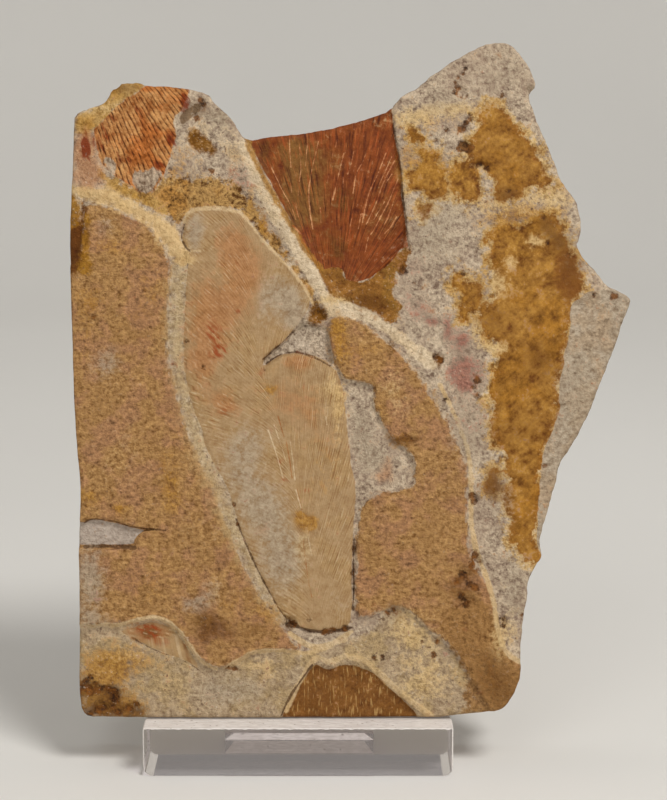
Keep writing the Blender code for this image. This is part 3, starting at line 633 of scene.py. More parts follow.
# The face's finishes from the bottom up. A row's first line has its patch, how far it is widened,
# and its deep, pale and cloud colours. The second has how far noise breaks its edge, the edge's
# softness, the finish's strength, the shares of sand, fibre, clots and slant in its tone, and the
# share of its clouds.
FACE_FINISHES = [
    ("plate", 0, (102, 62, 20), (204, 160, 104), (164, 120, 86),
     0.7, 0.45, 1.0, (0.15, 0.16, 0.05, 0), 0.75),
    ("brown_strip", 0, (84, 46, 0), (210, 166, 98), (164, 110, 34),
     1.5, 0.7, 0.95, (0.28, 0.05, 0.22, 0), 0.6),
    ("lower_cream", 0, (126, 102, 76), (208, 184, 150), (176, 148, 98),
     0.6, 0.6, 0.9, (0.18, 0.05, 0.10, 0), 0.6),
    ("corner_brown", 0, (94, 56, 18), (184, 140, 86), (168, 124, 70),
     1.2, 0.9, 0.9, (0.16, 0.10, 0.10, 0), 0.6),
    ("pale_band", 0, (146, 118, 76), (214, 188, 142), (184, 152, 104),
     1.6, 2.4, 0.80, (0.14, 0.05, 0.06, 0), 0.6),
    ("gap", 0, (112, 92, 74), (228, 210, 186), (176, 154, 128),
     0.12, 0.15, 1.0, (0.26, 0.0, 0.08, 0), 0.3),
    ("leaf", 0, (146, 110, 70), (192, 164, 124), (172, 138, 90),
     0.05, 0.10, 1.0, (0.10, 0.0, 0.14, 0), 0.5),
    ("mustard", 0, (126, 84, 22), (218, 178, 108), (178, 132, 48),
     0.7, 0.5, 0.9, (0.2, 0.06, 0.12, 0), 0.6),
    ("mustard_below", 0, (92, 48, 0), (172, 116, 36), (164, 120, 40),
     0.7, 0.30, 0.95, (0.16, 0.0, 0.2, 0), 0.5),
    ("cream_ledge", 0, (164, 126, 76), (244, 214, 162), (204, 168, 108),
     1.0, 0.9, 1.0, (0.14, 0.0, 0.10, 0), 0.35),
    ("white_ridge", 0, (168, 144, 114), (244, 224, 192), (206, 180, 142),
     0.55, 0.35, 1.0, (0.22, 0.0, 0.12, 0), 0.6),
    ("gold_film", 1.3, (150, 108, 48), (228, 192, 124), (198, 150, 66),
     2.0, 0.9, 0.8, (0.26, 0.0, 0.18, 0), 0.7),
    ("gold_film", 0, (90, 44, 0), (172, 116, 38), (132, 82, 6),
     1.4, 0.55, 1.0, (0.12, 0.0, 0.26, 0.05), 0.5),
    ("gold_film", -0.9, (106, 58, 0), (196, 146, 66), (156, 104, 22),
     1.4, 0.8, 0.8, (0.10, 0.0, 0.26, 0.08), 0.5),
    ("reddish_blob", 0, (92, 46, 4), (148, 92, 32), (136, 84, 24),
     1.2, 1.2, 0.85, (0.08, 0.0, 0.14, 0), 0.4),
    ("facet_right", 0, (132, 112, 90), (200, 184, 162), (176, 150, 120),
     0.12, 0.12, 1.0, (0.12, 0.2, 0.14, 0), 0.6),
    ("red_leaf", 0, (82, 24, 0), (158, 84, 32), (132, 68, 16),
     0.10, 0.10, 1.0, (0.08, 0.0, 0.16, 0), 0.5),
    ("golden_border", 0, (116, 74, 12), (198, 148, 66), (160, 110, 34),
     0.4, 0.3, 0.85, (0.2, 0.0, 0.14, 0), 0.4),
    ("ribbed", 0, (140, 76, 26), (224, 168, 106), (182, 100, 38),
     0.2, 0.2, 1.0, (0.12, 0.0, 0.28, 0), 0.7),
    ("rib_white", 0, (84, 64, 44), (218, 200, 176), (182, 164, 142),
     0.6, 0.3, 0.9, (0.2, 0.0, 0.2, 0), 0.3),
    # brown of the left facet, darkened by painted shade
    ("left_facet_brown_and_shade", 0, (80, 38, 4), (124, 78, 30), (104, 58, 14),
     0.7, 0.5, 1.0, (0.1, 0.0, 0.16, 0), 0.5),
    ("mustard_margin", 0, (96, 52, 0), (184, 134, 46), (146, 98, 22),
     0.8, 0.6, 0.95, (0.16, 0.0, 0.2, 0), 0.5),
    ("chip", 0, (146, 128, 114), (206, 192, 178), (182, 166, 152),
     0.05, 0.08, 1.0, (0.04, 0.22, 0.06, 0), 0.4),
    ("bottom_gold", 0, (84, 40, 0), (150, 102, 46), (126, 80, 26),
     0.15, 0.12, 1.0, (0.12, 0.0, 0.16, 0.05), 0.5),
    # painted shade in the notch at the top edge
    ("notch_painted_shade", 0, (84, 60, 40), (150, 126, 98), (124, 98, 70),
     0.25, 0.2, 0.95, (0.10, 0.0, 0.14, 0), 0.4),
    ("dark_brown", 0, (62, 30, 0), (150, 102, 38), (124, 78, 14),
     0.8, 0.7, 1.0, (0.12, 0.0, 0.22, 0), 0.5),
    ("cream_line", 0, (178, 146, 102), (232, 208, 168), (206, 172, 118),
     0.25, 0.20, 0.85, (0.2, 0.0, 0.12, 0), 0.5),
    # painted shadow along the steps, drawn over the relief's own small drop
    ("painted_shadow_line", 0, (52, 30, 12), (110, 78, 50), (84, 56, 30),
     0.22, 0.12, 0.85, (0.2, 0.0, 0.1, 0), 0.3),
]

# Soft stains: mask, deep and pale colour, strength, shares of sand, clots and hue clots in the edge
FACE_STAINS = [
    ("ochre_stain", (122, 72, 4), (198, 148, 64), 0.85, (0.16, 0.22, 0.14)),
    ("cream_stain", (174, 138, 84), (232, 202, 148), 0.8, (0.18, 0.2, 0.14)),
    ("grey_tint", (134, 114, 92), (194, 178, 154), 0.8, (0.14, 0.14, 0.12)),
    ("orange_tint", (152, 92, 46), (192, 134, 84), 0.65, (0.10, 0.16, 0.14)),
    ("mauve_tint", (106, 56, 48), (184, 132, 112), 0.95, (0.26, 0.2, 0.1)),
    ("olive_tint", (104, 68, 22), (140, 102, 50), 0.8, (0.08, 0.14, 0.1)),
    ("umber_stain", (66, 32, 2), (122, 78, 28), 0.8, (0.20, 0.22, 0.1)),
]
STAIN_NOISES = ("Sand", "Clots", "Hue Clots")

# How strongly the grain shows in every finish, and the finishes with few loose specks
GRAIN_CONTRAST = 1.4
SPECKLESS_FINISHES = (
    "leaf", "gold_film", "red_leaf", "ribbed", "bottom_gold", "left_facet_brown_and_shade", "facet_right", "chip",
    "mustard", "cream_ledge", "cream_line", "brown_strip",
)

# The broken sides and the back: deep, pale and stain colours, how clearly beds show, bump in metres
BROKEN_STONE = [
    ("broken_stone_sides", (128, 106, 80), (192, 172, 142), (150, 104, 52), 1.0, 0.00025),
    ("split_stone_back", (132, 110, 84), (188, 166, 134), (146, 104, 58), 0.2, 0.00018),
]

# Sawn and clouded plastic: how clear it stays, and the strength of its painted glow, an emission that
# stands in for light piped through the plastic
MATT_ACRYLIC = [
    ("sawn_acrylic_edge", 0.1, 0.10),
    ("clouded_acrylic_seam", 0.0, 0.44),
    ("hazy_acrylic_foot", 0.75, 0.10),
]


def srgb(colour):
    """A colour of 0 to 255, as it looks, to the linear values that the shaders take."""
    channels = [value / 255 for value in colour]
    linear = [c / 12.92 if c <= 0.04045 else ((c + 0.055) / 1.055) ** 2.4 for c in channels]
    return (*linear, 1.0)


def to_slab(pixels):
    """Photograph pixels to (across, up) on the slab's face, from the middle of the stand."""
    places = np.array(pixels, float)
    return np.column_stack([places[:, 0] - STAND_COLUMN, BOTTOM_ROW - places[:, 1]]) * PIXEL


def to_world(points):
    """(across, depth, up) in the leaning slab's frame to metres in the part's frame."""
    across, depth, up = points.T
    up = up + CLEARANCE
    back = FRONT_LEDGE - STAND_DEPTH / 2 + depth * math.cos(LEAN) + up * math.sin(LEAN)
    height = STAND_HEIGHT - depth * math.sin(LEAN) + up * math.cos(LEAN)
    return np.column_stack([across, back, height])


def segment_distance(points, starts, ends):
    """Distance of each point to the nearest of these segments."""
    nearest = np.full(len(points), np.inf)
    for start, end in zip(starts, ends):
        along = end - start
        share = np.clip((points - start) @ along / max(along @ along, 1e-18), 0, 1)
        offset = points - start - share[:, None] * along
        nearest = np.minimum(nearest, np.einsum("ij,ij->i", offset, offset))
    return np.sqrt(nearest)


def inside(points, outline):
    """Whether each point lies in the closed outline."""
    within = np.zeros(len(points), bool)
    for start, end in zip(outline, np.roll(outline, -1, axis=0)):
        crosses = (start[1] > points[:, 1]) != (end[1] > points[:, 1])
        rise = end[1] - start[1] if end[1] != start[1] else 1e-18
        edge_x = start[0] + (points[:, 1] - start[1]) * (end[0] - start[0]) / rise
        within ^= crosses & (points[:, 0] < edge_x)
    return within


def near(points, shape, margin):
    """Indices of the points in the shape's box, widened by the margin."""
    low, high = shape.min(axis=0) - margin, shape.max(axis=0) + margin
    return np.flatnonzero(np.all((points > low) & (points < high), axis=1))


def depth_inside(points, outline):
    """Distance to the closed outline, positive inside it."""
    distance = segment_distance(points, outline, np.roll(outline, -1, axis=0))
    return np.where(inside(points, outline), distance, -distance)


def patch_depth(points, outlines, far=-FAR * MM):
    """Greatest depth inside any of the outlines, down to a far limit outside them all."""
    depth = np.full(len(points), -far)
    for outline in outlines:
        chosen = near(points, outline, far)
        depth[chosen] = np.maximum(depth[chosen], depth_inside(points[chosen], outline))
    return depth


def line_depth(points, lines, far=-FAR * MM):
    """Depth inside the band around any of the lines, each with its half width."""
    depth = np.full(len(points), -far)
    for line, half_width in lines:
        chosen = near(points, line, far)
        gap = segment_distance(points[chosen], line[:-1], line[1:])
        depth[chosen] = np.maximum(depth[chosen], half_width - gap)
    return depth


def smooth_outline(pixels, rounds=2):
    """The closed outline with its corners cut, in slab metres."""
    points = to_slab(pixels)
    for _ in range(rounds):
        after = np.roll(points, -1, axis=0)
        points = np.column_stack([0.75 * points + 0.25 * after, 0.25 * points + 0.75 * after])
        points = points.reshape(-1, 2)
    return points


def smooth_line(pixels, rounds=2):
    """The open line with its corners cut and its ends kept, in slab metres."""
    points = to_slab(pixels)
    for _ in range(rounds):
        before, after = points[:-1], points[1:]
        cut = np.column_stack([0.75 * before + 0.25 * after, 0.25 * before + 0.75 * after])
        points = np.vstack([points[:1], cut.reshape(-1, 2), points[-1:]])
    return points


def refine(line, step, closed=True):
    """The line with its own corners kept and long stretches divided."""
    ends = np.roll(line, -1, axis=0) if closed else line[1:]
    points = []
    for start, end in zip(line, ends):
        pieces = max(int(round(np.linalg.norm(end - start) / step)), 1)
        points += [start + (end - start) * i / pieces for i in range(pieces)]
    if not closed:
        points.append(line[-1])
    return np.array(points)


def thinned(line, step):
    """The line without the points that lie closer together than half a step."""
    kept = [line[0]]
    for point in line[1:]:
        if np.linalg.norm(point - kept[-1]) > step / 2:
            kept.append(point)
    return np.array(kept)


def shifted(line, amount):
    """The closed line moved sideways, to its left where the amount is positive."""
    tangent = np.roll(line, -1, axis=0) - np.roll(line, 1, axis=0)
    tangent /= np.linalg.norm(tangent, axis=1)[:, None]
    normal = np.column_stack([-tangent[:, 1], tangent[:, 0]])
    return line + amount * normal


def wave(points, size, seed):
    """Smooth noise between -1 and 1 at each point, for features of this size."""
    scaled = points / size
    return np.array([noise.noise(Vector((x, y, seed))) for x, y in scaled.tolist()])


def wandered(points):
    """The points moved a little by noise, so that edges looked up there run naturally."""
    moved = points
    for amount, size, across, up in EDGE_WANDER:
        moved = moved + amount * np.column_stack([wave(points, size, across), wave(points, size, up)])
    return moved


def soft_step(distance, half_width):
    share = np.clip(distance / half_width, -1, 1)
    return 0.5 + 0.75 * share - 0.25 * share**3


def facet_run(points):
    """How far each point lies out on the broken facet at the right edge."""
    line = to_slab(FACET_LINE)
    line_x = np.interp(points[:, 1], line[::-1, 1], line[::-1, 0])
    beyond = (points[:, 0] > line_x) & (points[:, 1] < line[0, 1]) & (points[:, 1] > line[-1, 1])
    return np.where(beyond, segment_distance(points, line[:-1], line[1:]), 0.0)


def face_height(points, moved):
    """Height of the slab's front face, from the top of the plates."""
    height = np.full(len(points), MATRIX_LEVEL)
    for outline, level in LEDGES:
        share = soft_step(patch_depth(moved, [smooth_outline(outline)]), LEDGE_HALF_WIDTH)
        height += share * (level - height)
    band = patch_depth(moved, [smooth_outline(PATCHES["pale_band"][0])])
    band = np.clip(0.5 + band / (4 * LEDGE_HALF_WIDTH), 0, 1)
    height = np.where(height < BAND_LEVEL, height + band * (BAND_LEVEL - height), height)
    for line, half_width, rise in RIDGES:
        places = to_slab(line)
        gap = segment_distance(points, places[:-1], places[1:]) / (half_width * PIXEL)
        height += rise * np.exp(-(gap**2))
    for x, y, radius, depth in PITS:
        gap = np.linalg.norm(moved - to_slab([(x, y)]), axis=1) / (radius * PIXEL)
        height -= depth * np.clip(1 - gap**2, 0, 1)
    height -= FACET_SLOPE * facet_run(points)
    height += UNDULATION * (wave(points, 0.012, 1.3) + 0.5 * wave(points, 0.005, 7.1))
    return height


def fan_place(points, focus, angle):
    """(count of the lines that fan out from a pixel, distance from it in mm)."""
    offset = points - to_slab([focus])
    turn = np.arctan2(offset[:, 0], np.abs(offset[:, 1]))
    return np.column_stack([turn / angle, np.linalg.norm(offset, axis=1) / MM])


def midrib_place(points):
    """(distance along the midrib, signed distance across it) for each point, in pixels."""
    line = smooth_line(MIDRIB)
    lengths = np.r_[0, np.cumsum(np.linalg.norm(np.diff(line, axis=0), axis=1))]
    nearest = np.full(len(points), np.inf)
    along, across = np.zeros(len(points)), np.zeros(len(points))
    for start, end, length in zip(line[:-1], line[1:], lengths):
        span = end - start
        share = np.clip((points - start) @ span / (span @ span), 0, 1)
        offset = points - start - share[:, None] * span
        gap = np.linalg.norm(offset, axis=1)
        side = np.sign(span[1] * offset[:, 0] - span[0] * offset[:, 1])
        closer = gap < nearest
        nearest = np.where(closer, gap, nearest)
        along = np.where(closer, length + share * np.linalg.norm(span), along)
        across = np.where(closer, side * gap, across)
    return along / PIXEL, across / PIXEL


def vein_place(points):
    """(count of the main leaf's veins, distance from the midrib in mm); the veins bend outwards."""
    along, across = midrib_place(points)
    up = np.clip(along / MIDRIB_LENGTH, 0, 1)
    left = VEIN_RISE_LEFT[0] + (VEIN_RISE_LEFT[1] - VEIN_RISE_LEFT[0]) * up
    right = VEIN_RISE_RIGHT[0] + (VEIN_RISE_RIGHT[1] - VEIN_RISE_RIGHT[0]) * up
    slope = np.where(across < 0, left, right)
    rise = slope * VEIN_REACH / VEIN_BEND * (np.abs(across) / VEIN_REACH) ** VEIN_BEND
    return np.column_stack([(along - rise) / VEIN_STEP, across * PIXEL / MM])


def grid_points(outline, step, seed):
    """Staggered points over the outline's box, a little displaced."""
    low, high = outline.min(axis=0), outline.max(axis=0)
    rows = np.arange(low[1], high[1], step * math.sqrt(3) / 2)
    columns = np.arange(low[0], high[0], step)
    x, y = np.meshgrid(columns, rows)
    x = x + (np.arange(len(rows)) % 2)[:, None] * step / 2
    points = np.column_stack([x.ravel(), y.ravel()])
    shift = np.random.default_rng(seed).uniform(-1, 1, points.shape)
    return points + 0.18 * step * shift


def kept_clear(grid, lines, clear):
    """The grid points that lie farther than this from every line point."""
    cell = clear * 1.5
    used = set()
    for line in lines:
        for x, y in np.round(line / cell).astype(int).tolist():
            used.add((x, y))
    cells = np.round(grid / cell).astype(int).tolist()
    free = np.array([(x, y) not in used for x, y in cells])
    return grid[free]


def face_triangles(rim, closed_lines, open_lines, grid):
    """Triangles over the area in the rim, with edges along the lines."""
    points = [tuple(point) for point in rim]
    edges = [(i, (i + 1) % len(rim)) for i in range(len(rim))]
    for line, is_closed in [(l, True) for l in closed_lines] + [(l, False) for l in open_lines]:
        keep = depth_inside(line, rim) > RIM_INSET * 0.8
        first = len(points)
        kept = {index: first + order for order, index in enumerate(np.flatnonzero(keep))}
        points += [tuple(line[index]) for index in kept]
        for index in kept:
            after = (index + 1) % len(line) if is_closed else index + 1
            if after in kept:
                edges.append((kept[index], kept[after]))
    points += [tuple(point) for point in grid.tolist()]
    result = delaunay_2d_cdt([Vector(point) for point in points], edges, [], 0, 1e-6)
    places = np.array([tuple(place) for place in result[0]])
    faces = np.array(result[2])
    within = inside(places[faces].mean(axis=1), rim)
    return places, faces[within]


def boundary(faces):
    """Ordered boundary loop of a set of triangles."""
    starts = faces.ravel()
    ends = np.roll(faces, -1, axis=1).ravel()
    size = int(faces.max()) + 1
    forward, backward = starts * size + ends, ends * size + starts
    alone = ~np.isin(forward, backward)
    following = dict(zip(starts[alone].tolist(), ends[alone].tolist()))
    loop = [min(following)]
    while following[loop[-1]] != loop[0]:
        loop.append(following[loop[-1]])
    return loop


def is_sawn(rim):
    """Whether each rim point lies on the sawn left side or foot."""
    return (rim[:, 0] < to_slab([SAWN_EDGE])[0, 0]) | (rim[:, 1] < SAWN_FOOT)


def side_shift(rim, share):
    """How far each rim point moves inwards at this share of the thickness."""
    lumps = wave(rim, LUMP_SIZE, 11 + LUMP_TURN * share)
    beds = wave(rim, BED_LENGTH, 21 + BED_TURN * share)
    chips = wave(rim, CHIP_SIZE, 71 + 10 * share)
    depth = BROKEN_ROUGHNESS * np.clip(0.5 + lumps + beds, 0, None) + CHIP_DEPTH * (1 + chips)
    marks = SAW_MARK * (1 + chips)
    return np.where(is_sawn(rim), marks, depth) * min(1.0, 5 * share / 2)


def main_face(rim):
    """The front face: (across, up) of its vertices and its triangles."""
    fine_zones = [smooth_outline(p) for p in PATCHES["leaf"] + PATCHES["ribbed"]]
    fine_zones.append(smooth_outline(PATCHES["red_leaf"][0]))
    closed_lines = [shifted(rim, RIM_INSET)]
    for outline, _ in LEDGES:
        line = refine(thinned(smooth_outline(outline), LEDGE_STEP), LEDGE_STEP)
        closed_lines += [shifted(line, LEDGE_HALF_WIDTH), shifted(line, -LEDGE_HALF_WIDTH)]
    thin_lines = [line for lines in LINES.values() for line, _ in lines]
    thin = [refine(smooth_line(line), THIN_LINE_STEP, False) for line in thin_lines]
    open_lines = [thinned(line, THIN_LINE_STEP) for line in thin]
    coarse = grid_points(rim, FACE_STEP, 3)
    fine = grid_points(rim, FINE_STEP, 4)
    coarse = coarse[patch_depth(coarse, fine_zones) < -0.5 * FINE_STEP]
    fine = fine[patch_depth(fine, fine_zones) >= 0]
    fine = kept_clear(fine, closed_lines + open_lines, FINE_STEP * 0.55)
    coarse = kept_clear(coarse, closed_lines + open_lines, FACE_STEP * 0.6)
    grid = np.vstack([coarse, fine])
    grid = grid[depth_inside(grid, rim) > RIM_INSET * 1.8]
    return face_triangles(rim, closed_lines, open_lines, grid)


def spot_depth(points, spots):
    """Depth in millimetres inside any of the round spots."""
    depth = np.full(len(points), FAR)
    spots = np.array(spots)
    for place, radius in zip(to_slab(spots[:, :2]), spots[:, 2] * PIXEL):
        chosen = near(points, place[None], SPOT_REACH)
        gap = (radius - np.linalg.norm(points[chosen] - place, axis=1)) / MM
        depth[chosen] = np.maximum(depth[chosen], gap)
    return depth


def stain_strength(points, stains):
    """Strength of the soft oval stains at each point."""
    total = np.zeros(len(points))
    for x, y, width, height, strength in stains:
        offset = (points - to_slab([(x, y)])) / (np.array([width, height]) * PIXEL)
        total += strength * np.exp(-np.einsum("ij,ij->i", offset, offset) * 0.8)
    return total


def face_masks(points, moved):
    """Named values at each point of the face, and its places along the veins and ribs."""
    patches = {**PATCHES, "plate": [PLATE_LEFT, PLATE_RIGHT]}
    masks = {}
    for name, outlines in patches.items():
        masks[name] = patch_depth(moved, [smooth_outline(p) for p in outlines]) / MM
    for name, lines in LINES.items():
        bands = [(smooth_line(line), half * PIXEL) for line, half in lines]
        masks[name] = line_depth(points, bands) / MM
    masks["iron_spot"] = spot_depth(moved, IRON_SPOTS)
    for name, stains in STAINS.items():
        masks[name] = stain_strength(moved, stains)
    flows = {
        "leaf_veins": vein_place(points),
        "red_veins": fan_place(points, FAN_FOCUS, FAN_ANGLE),
        "ribs": fan_place(points, RIB_FOCUS, RIB_ANGLE),
    }
    return masks, flows


def fine_relief(points, masks, flows, height):
    """The face's height with its grain, ribs, veins and rounded leaf edges."""
    rough = 0.5 + 0.5 * np.clip(-masks["leaf"] / 0.4, -1, 1)
    for name in ("red_leaf", "gold_film"):
        rough *= 0.6 + 0.4 * np.clip(-masks[name] / 0.4, -1, 1)
    grain = sum(rise * wave(points, size, seed) for rise, size, seed in GRAIN_RELIEF)
    rise, size, seed = LUMP_RELIEF
    lumps = rise * wave(points, size, seed) * np.clip(0.4 - masks["plate"] / 0.5, 0.3, 1)
    height = height + rough * (grain + lumps)
    ribs = np.clip(masks["ribbed"] / 0.3, 0, 1)
    height += ribs * RIB_HEIGHT * np.cos(2 * math.pi * flows["ribs"][:, 0])
    leaf = np.clip(masks["leaf"] / 0.6, 0, 1)
    height += leaf * VEIN_HEIGHT * np.cos(2 * math.pi * flows["leaf_veins"][:, 0])
    height += LEAF_CROWN * (1 - np.exp(-np.clip(masks["leaf"], 0, None) / LEAF_CROWN_RUN))
    for name, rise in LINE_RISES.items():
        height += rise * np.clip(masks[name] / 0.3 + 0.5, 0, 1)
    height -= DARK_LINE_DROP * np.clip(masks["painted_shadow_line"] / 0.15 + 0.5, 0, 1)
    height -= IRON_SPOT_DROP * np.clip(masks["iron_spot"] / 0.5 + 0.3, 0, 1)
    return height


def cut_rim():
    """The slab's outline at the front, a little jagged where it is broken."""
    rim = refine(thinned(smooth_outline(SLAB_OUTLINE[::-1], 1), RIM_STEP), RIM_STEP)
    jag = 1 + wave(rim, *RIM_NOISES[0]) + wave(rim, *RIM_NOISES[1])
    jag = np.where(is_sawn(rim), SAWN_JAG, BROKEN_JAG) * jag
    return shifted(rim, np.clip(jag, 0, None)[:, None])


def side_rings(edge, height, row, first):
    """Rings of vertices from the face's edge to the back, the faces between them, and the last row."""
    rings, faces = [], []
    for step in range(1, SIDE_ROWS + 1):
        share = step / SIDE_ROWS
        ring = shifted(edge, side_shift(edge, share)[:, None])
        depth = -height * (1 - share) + SLAB_THICKNESS * share
        rings.append(np.column_stack([ring[:, 0], depth, np.clip(ring[:, 1], 0, None)]))
        new_row = list(range(first, first + len(row)))
        first += len(row)
        for i in range(len(row)):
            j = (i + 1) % len(row)
            faces.append((row[j], row[i], new_row[i], new_row[j]))
        row = new_row
    return rings, faces, row


def back_face(rim, row):
    """The rough back inside its rim, whose vertices are the row: new vertices, and triangles."""
    grid = grid_points(rim, BACK_STEP, 5)
    grid = grid[depth_inside(grid, rim) > 0.6 * BACK_STEP]
    places, faces = face_triangles(rim, [], [], grid)
    known = {(round(x, 7), round(y, 7)): index for (x, y), index in zip(rim.tolist(), row)}
    depths = SLAB_THICKNESS + UNDULATION * wave(places, 0.015, 31.0)
    numbers, added = [], []
    for (x, y), depth in zip(places.tolist(), depths):
        index = known.get((round(x, 7), round(y, 7)))
        if index is None:
            index = row[-1] + 1 + len(added)
            added.append((x, depth, y))
        numbers.append(index)
    return np.array(added), [(numbers[c], numbers[b], numbers[a]) for a, b, c in faces.tolist()]


def slab_mesh():
    """The whole slab as one closed mesh, with the finish of each face and its masks."""
    front, faces = main_face(cut_rim())
    moved = wandered(front)
    masks, flows = face_masks(front, moved)
    height = fine_relief(front, masks, flows, face_height(front, moved))
    loop = boundary(faces)
    height[loop] -= RIM_DROP
    rings, side_faces, row = side_rings(front[loop], height[loop], loop, len(front))
    added, back_faces = back_face(rings[-1][:, [0, 2]], row)
    vertices = [np.column_stack([front[:, 0], -height, front[:, 1]]), *rings, added]
    polygons = faces.tolist() + side_faces + back_faces
    finish = [0] * len(faces) + [1] * len(side_faces) + [2] * len(back_faces)
    return np.vstack(vertices), polygons, finish, masks, flows


def store(mesh, name, values, missing=0.0):
    """Keeps one number for each vertex, for the materials to read."""
    full = np.full(len(mesh.vertices), missing, np.float32)
    full[: len(values)] = values
    mesh.attributes.new(name, "FLOAT", "POINT").data.foreach_set("value", full)


def store_places(mesh, name, places):
    """Keeps one place for each vertex."""
    full = np.zeros((len(mesh.vertices), 3), np.float32)
    full[: len(places), : places.shape[1]] = places
    layer = mesh.attributes.new(name, "FLOAT_VECTOR", "POINT")
    layer.data.foreach_set("vector", full.ravel())


def bake_layout(mesh, local, finish):
    """A map with most of its area for the face, and strips for the back and the sides."""
    layer = mesh.uv_layers.new(name="OFBake")
    corners = np.zeros(len(mesh.loops), np.int32)
    mesh.loops.foreach_get("vertex_index", corners)
    counts = np.zeros(len(mesh.polygons), np.int32)
    mesh.polygons.foreach_get("loop_total", counts)
    kind = np.repeat(np.array(finish), counts)
    low = local.min(axis=0)
    size = local.max(axis=0) - low
    share = (local[corners] - low) / size
    aspect = size[0] / size[2]
    u = MAP_EDGE + MAP_SPAN * aspect * share[:, 0] * FACE_NARROWING
    v = MAP_EDGE + MAP_SPAN * share[:, 2]
    back = kind == 2
    u[back] = RIGHT_PART + BACK_SPAN * share[back, 0]
    v[back] = MAP_EDGE + BACK_SPAN / aspect * share[back, 2]
    side = kind == 1
    angle = np.arctan2(share[:, 2] - 0.5, share[:, 0] - 0.5) / (2 * math.pi) + 0.5
    # a side's corners are kept in the strip of its first one
    first = np.repeat(angle[np.r_[0, np.cumsum(counts)[:-1]]], counts)
    angle = np.where(angle - first > 0.5, angle - 1, np.where(first - angle > 0.5, angle + 1, angle))
    strip = np.floor(first * SIDE_STRIPS)
    along = np.clip(angle * SIDE_STRIPS - strip, -STRIP_OVERLAP, 1 + STRIP_OVERLAP)
    u[side] = RIGHT_PART + STRIP_SPAN * along[side]
    v[side] = STRIPS_FOOT + (strip * STRIP_PITCH + STRIP_RISE * share[:, 1])[side]
    layer.data.foreach_set("uv", np.column_stack([u, v]).ravel())


def make_slab(materials):
    local, polygons, finish, masks, flows = slab_mesh()
    mesh = bpy.data.meshes.new("leaf_slab")
    mesh.from_pydata(to_world(local).tolist(), [], polygons)
    mesh.polygons.foreach_set("material_index", finish)
    mesh.polygons.foreach_set("use_smooth", [True] * len(polygons))
    for name, values in masks.items():
        store(mesh, name, values, FAR if values.min() < 0 else 0.0)
    for name, places in flows.items():
        store_places(mesh, name, places)
    store_places(mesh, "bed", local / MM)
    bake_layout(mesh, local, finish)
    for material in materials:
        mesh.materials.append(material)
    mesh.update()
    slab = bpy.data.objects.new("leaf_slab", mesh)
    bpy.context.scene.collection.objects.link(slab)
    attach(slab, "root")
    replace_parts(slab, "fossil_slab")
    return slab


def feed(tree, node, inputs):
    """Sets or links the node's inputs."""
    for name, value in inputs.items():
        if isinstance(value, bpy.types.NodeSocket):
            tree.links.new(value, node.inputs[name])
        else:
            node.inputs[name].default_value = value


def new_node(tree, kind, inputs=None, **settings):
    """A node with its settings, and its inputs set or linked."""
    node = tree.nodes.new(kind)
    for name, value in settings.items():
        setattr(node, name, value)
    feed(tree, node, inputs or {})
    return node


def calc(tree, operation, a, b=0.0, c=0.0, clamp=False):
    inputs = {0: a, 1: b, 2: c}
    return new_node(tree, "ShaderNodeMath", inputs, operation=operation, use_clamp=clamp).outputs[0]


def product(tree, first, *others):
    """The first value multiplied by each of the others in turn."""
    for other in others:
        first = calc(tree, "MULTIPLY", first, other)
    return first


def stretched(tree, place, factors):
    """The place with each of its parts multiplied, so that a noise read there is drawn out."""
    inputs = {0: place, 1: factors}
    return new_node(tree, "ShaderNodeVectorMath", inputs, operation="MULTIPLY").outputs[0]


def blend(tree, share, under, over, mode="MIX"):
    inputs = {0: share, 6: under, 7: over}
    return new_node(tree, "ShaderNodeMix", inputs, data_type="RGBA", blend_type=mode).outputs[2]


def spread(tree, value, low, high, to_low=0.0, to_high=1.0):
    """The value's range from low to high as a soft step between two others."""
    inputs = {0: value, 1: low, 2: high, 3: to_low, 4: to_high}
    return new_node(tree, "ShaderNodeMapRange", inputs, interpolation_type="SMOOTHSTEP").outputs[0]


def read(tree, name):
    return new_node(tree, "ShaderNodeAttribute", attribute_name=name).outputs["Fac"]


def place_of(tree, name):
    return new_node(tree, "ShaderNodeAttribute", attribute_name=name).outputs["Vector"]


def noise_value(tree, place, scale, detail=2.0, roughness=0.5):
    inputs = {"Vector": place, "Scale": scale, "Detail": detail, "Roughness": roughness}
    return new_node(tree, "ShaderNodeTexNoise", inputs).outputs["Fac"]


def centred_noise(tree, place, scale, detail, gain, roughness):
    value = noise_value(tree, place, scale, detail, roughness)
    return product(tree, calc(tree, "SUBTRACT", value, 0.5), gain)


def new_group(name, inputs, outputs):
    """An empty node group with named sockets, and its two end nodes."""
    tree = bpy.data.node_groups.new(name, "ShaderNodeTree")
    for label, kind in inputs:
        tree.interface.new_socket(name=label, in_out="INPUT", socket_type="NodeSocket" + kind)
    for label, kind in outputs:
        tree.interface.new_socket(name=label, in_out="OUTPUT", socket_type="NodeSocket" + kind)
    return tree, tree.nodes.new("NodeGroupInput").outputs, tree.nodes.new("NodeGroupOutput").inputs


def use_group(tree, group, inputs):
    node = tree.nodes.new("ShaderNodeGroup")
    node.node_tree = group
    feed(tree, node, inputs)
    return node.outputs


def add_bump(tree, shader, height, strength, distance):
    inputs = {"Height": height, "Strength": strength, "Distance": distance}
    tree.links.new(new_node(tree, "ShaderNodeBump", inputs).outputs["Normal"], shader.inputs["Normal"])


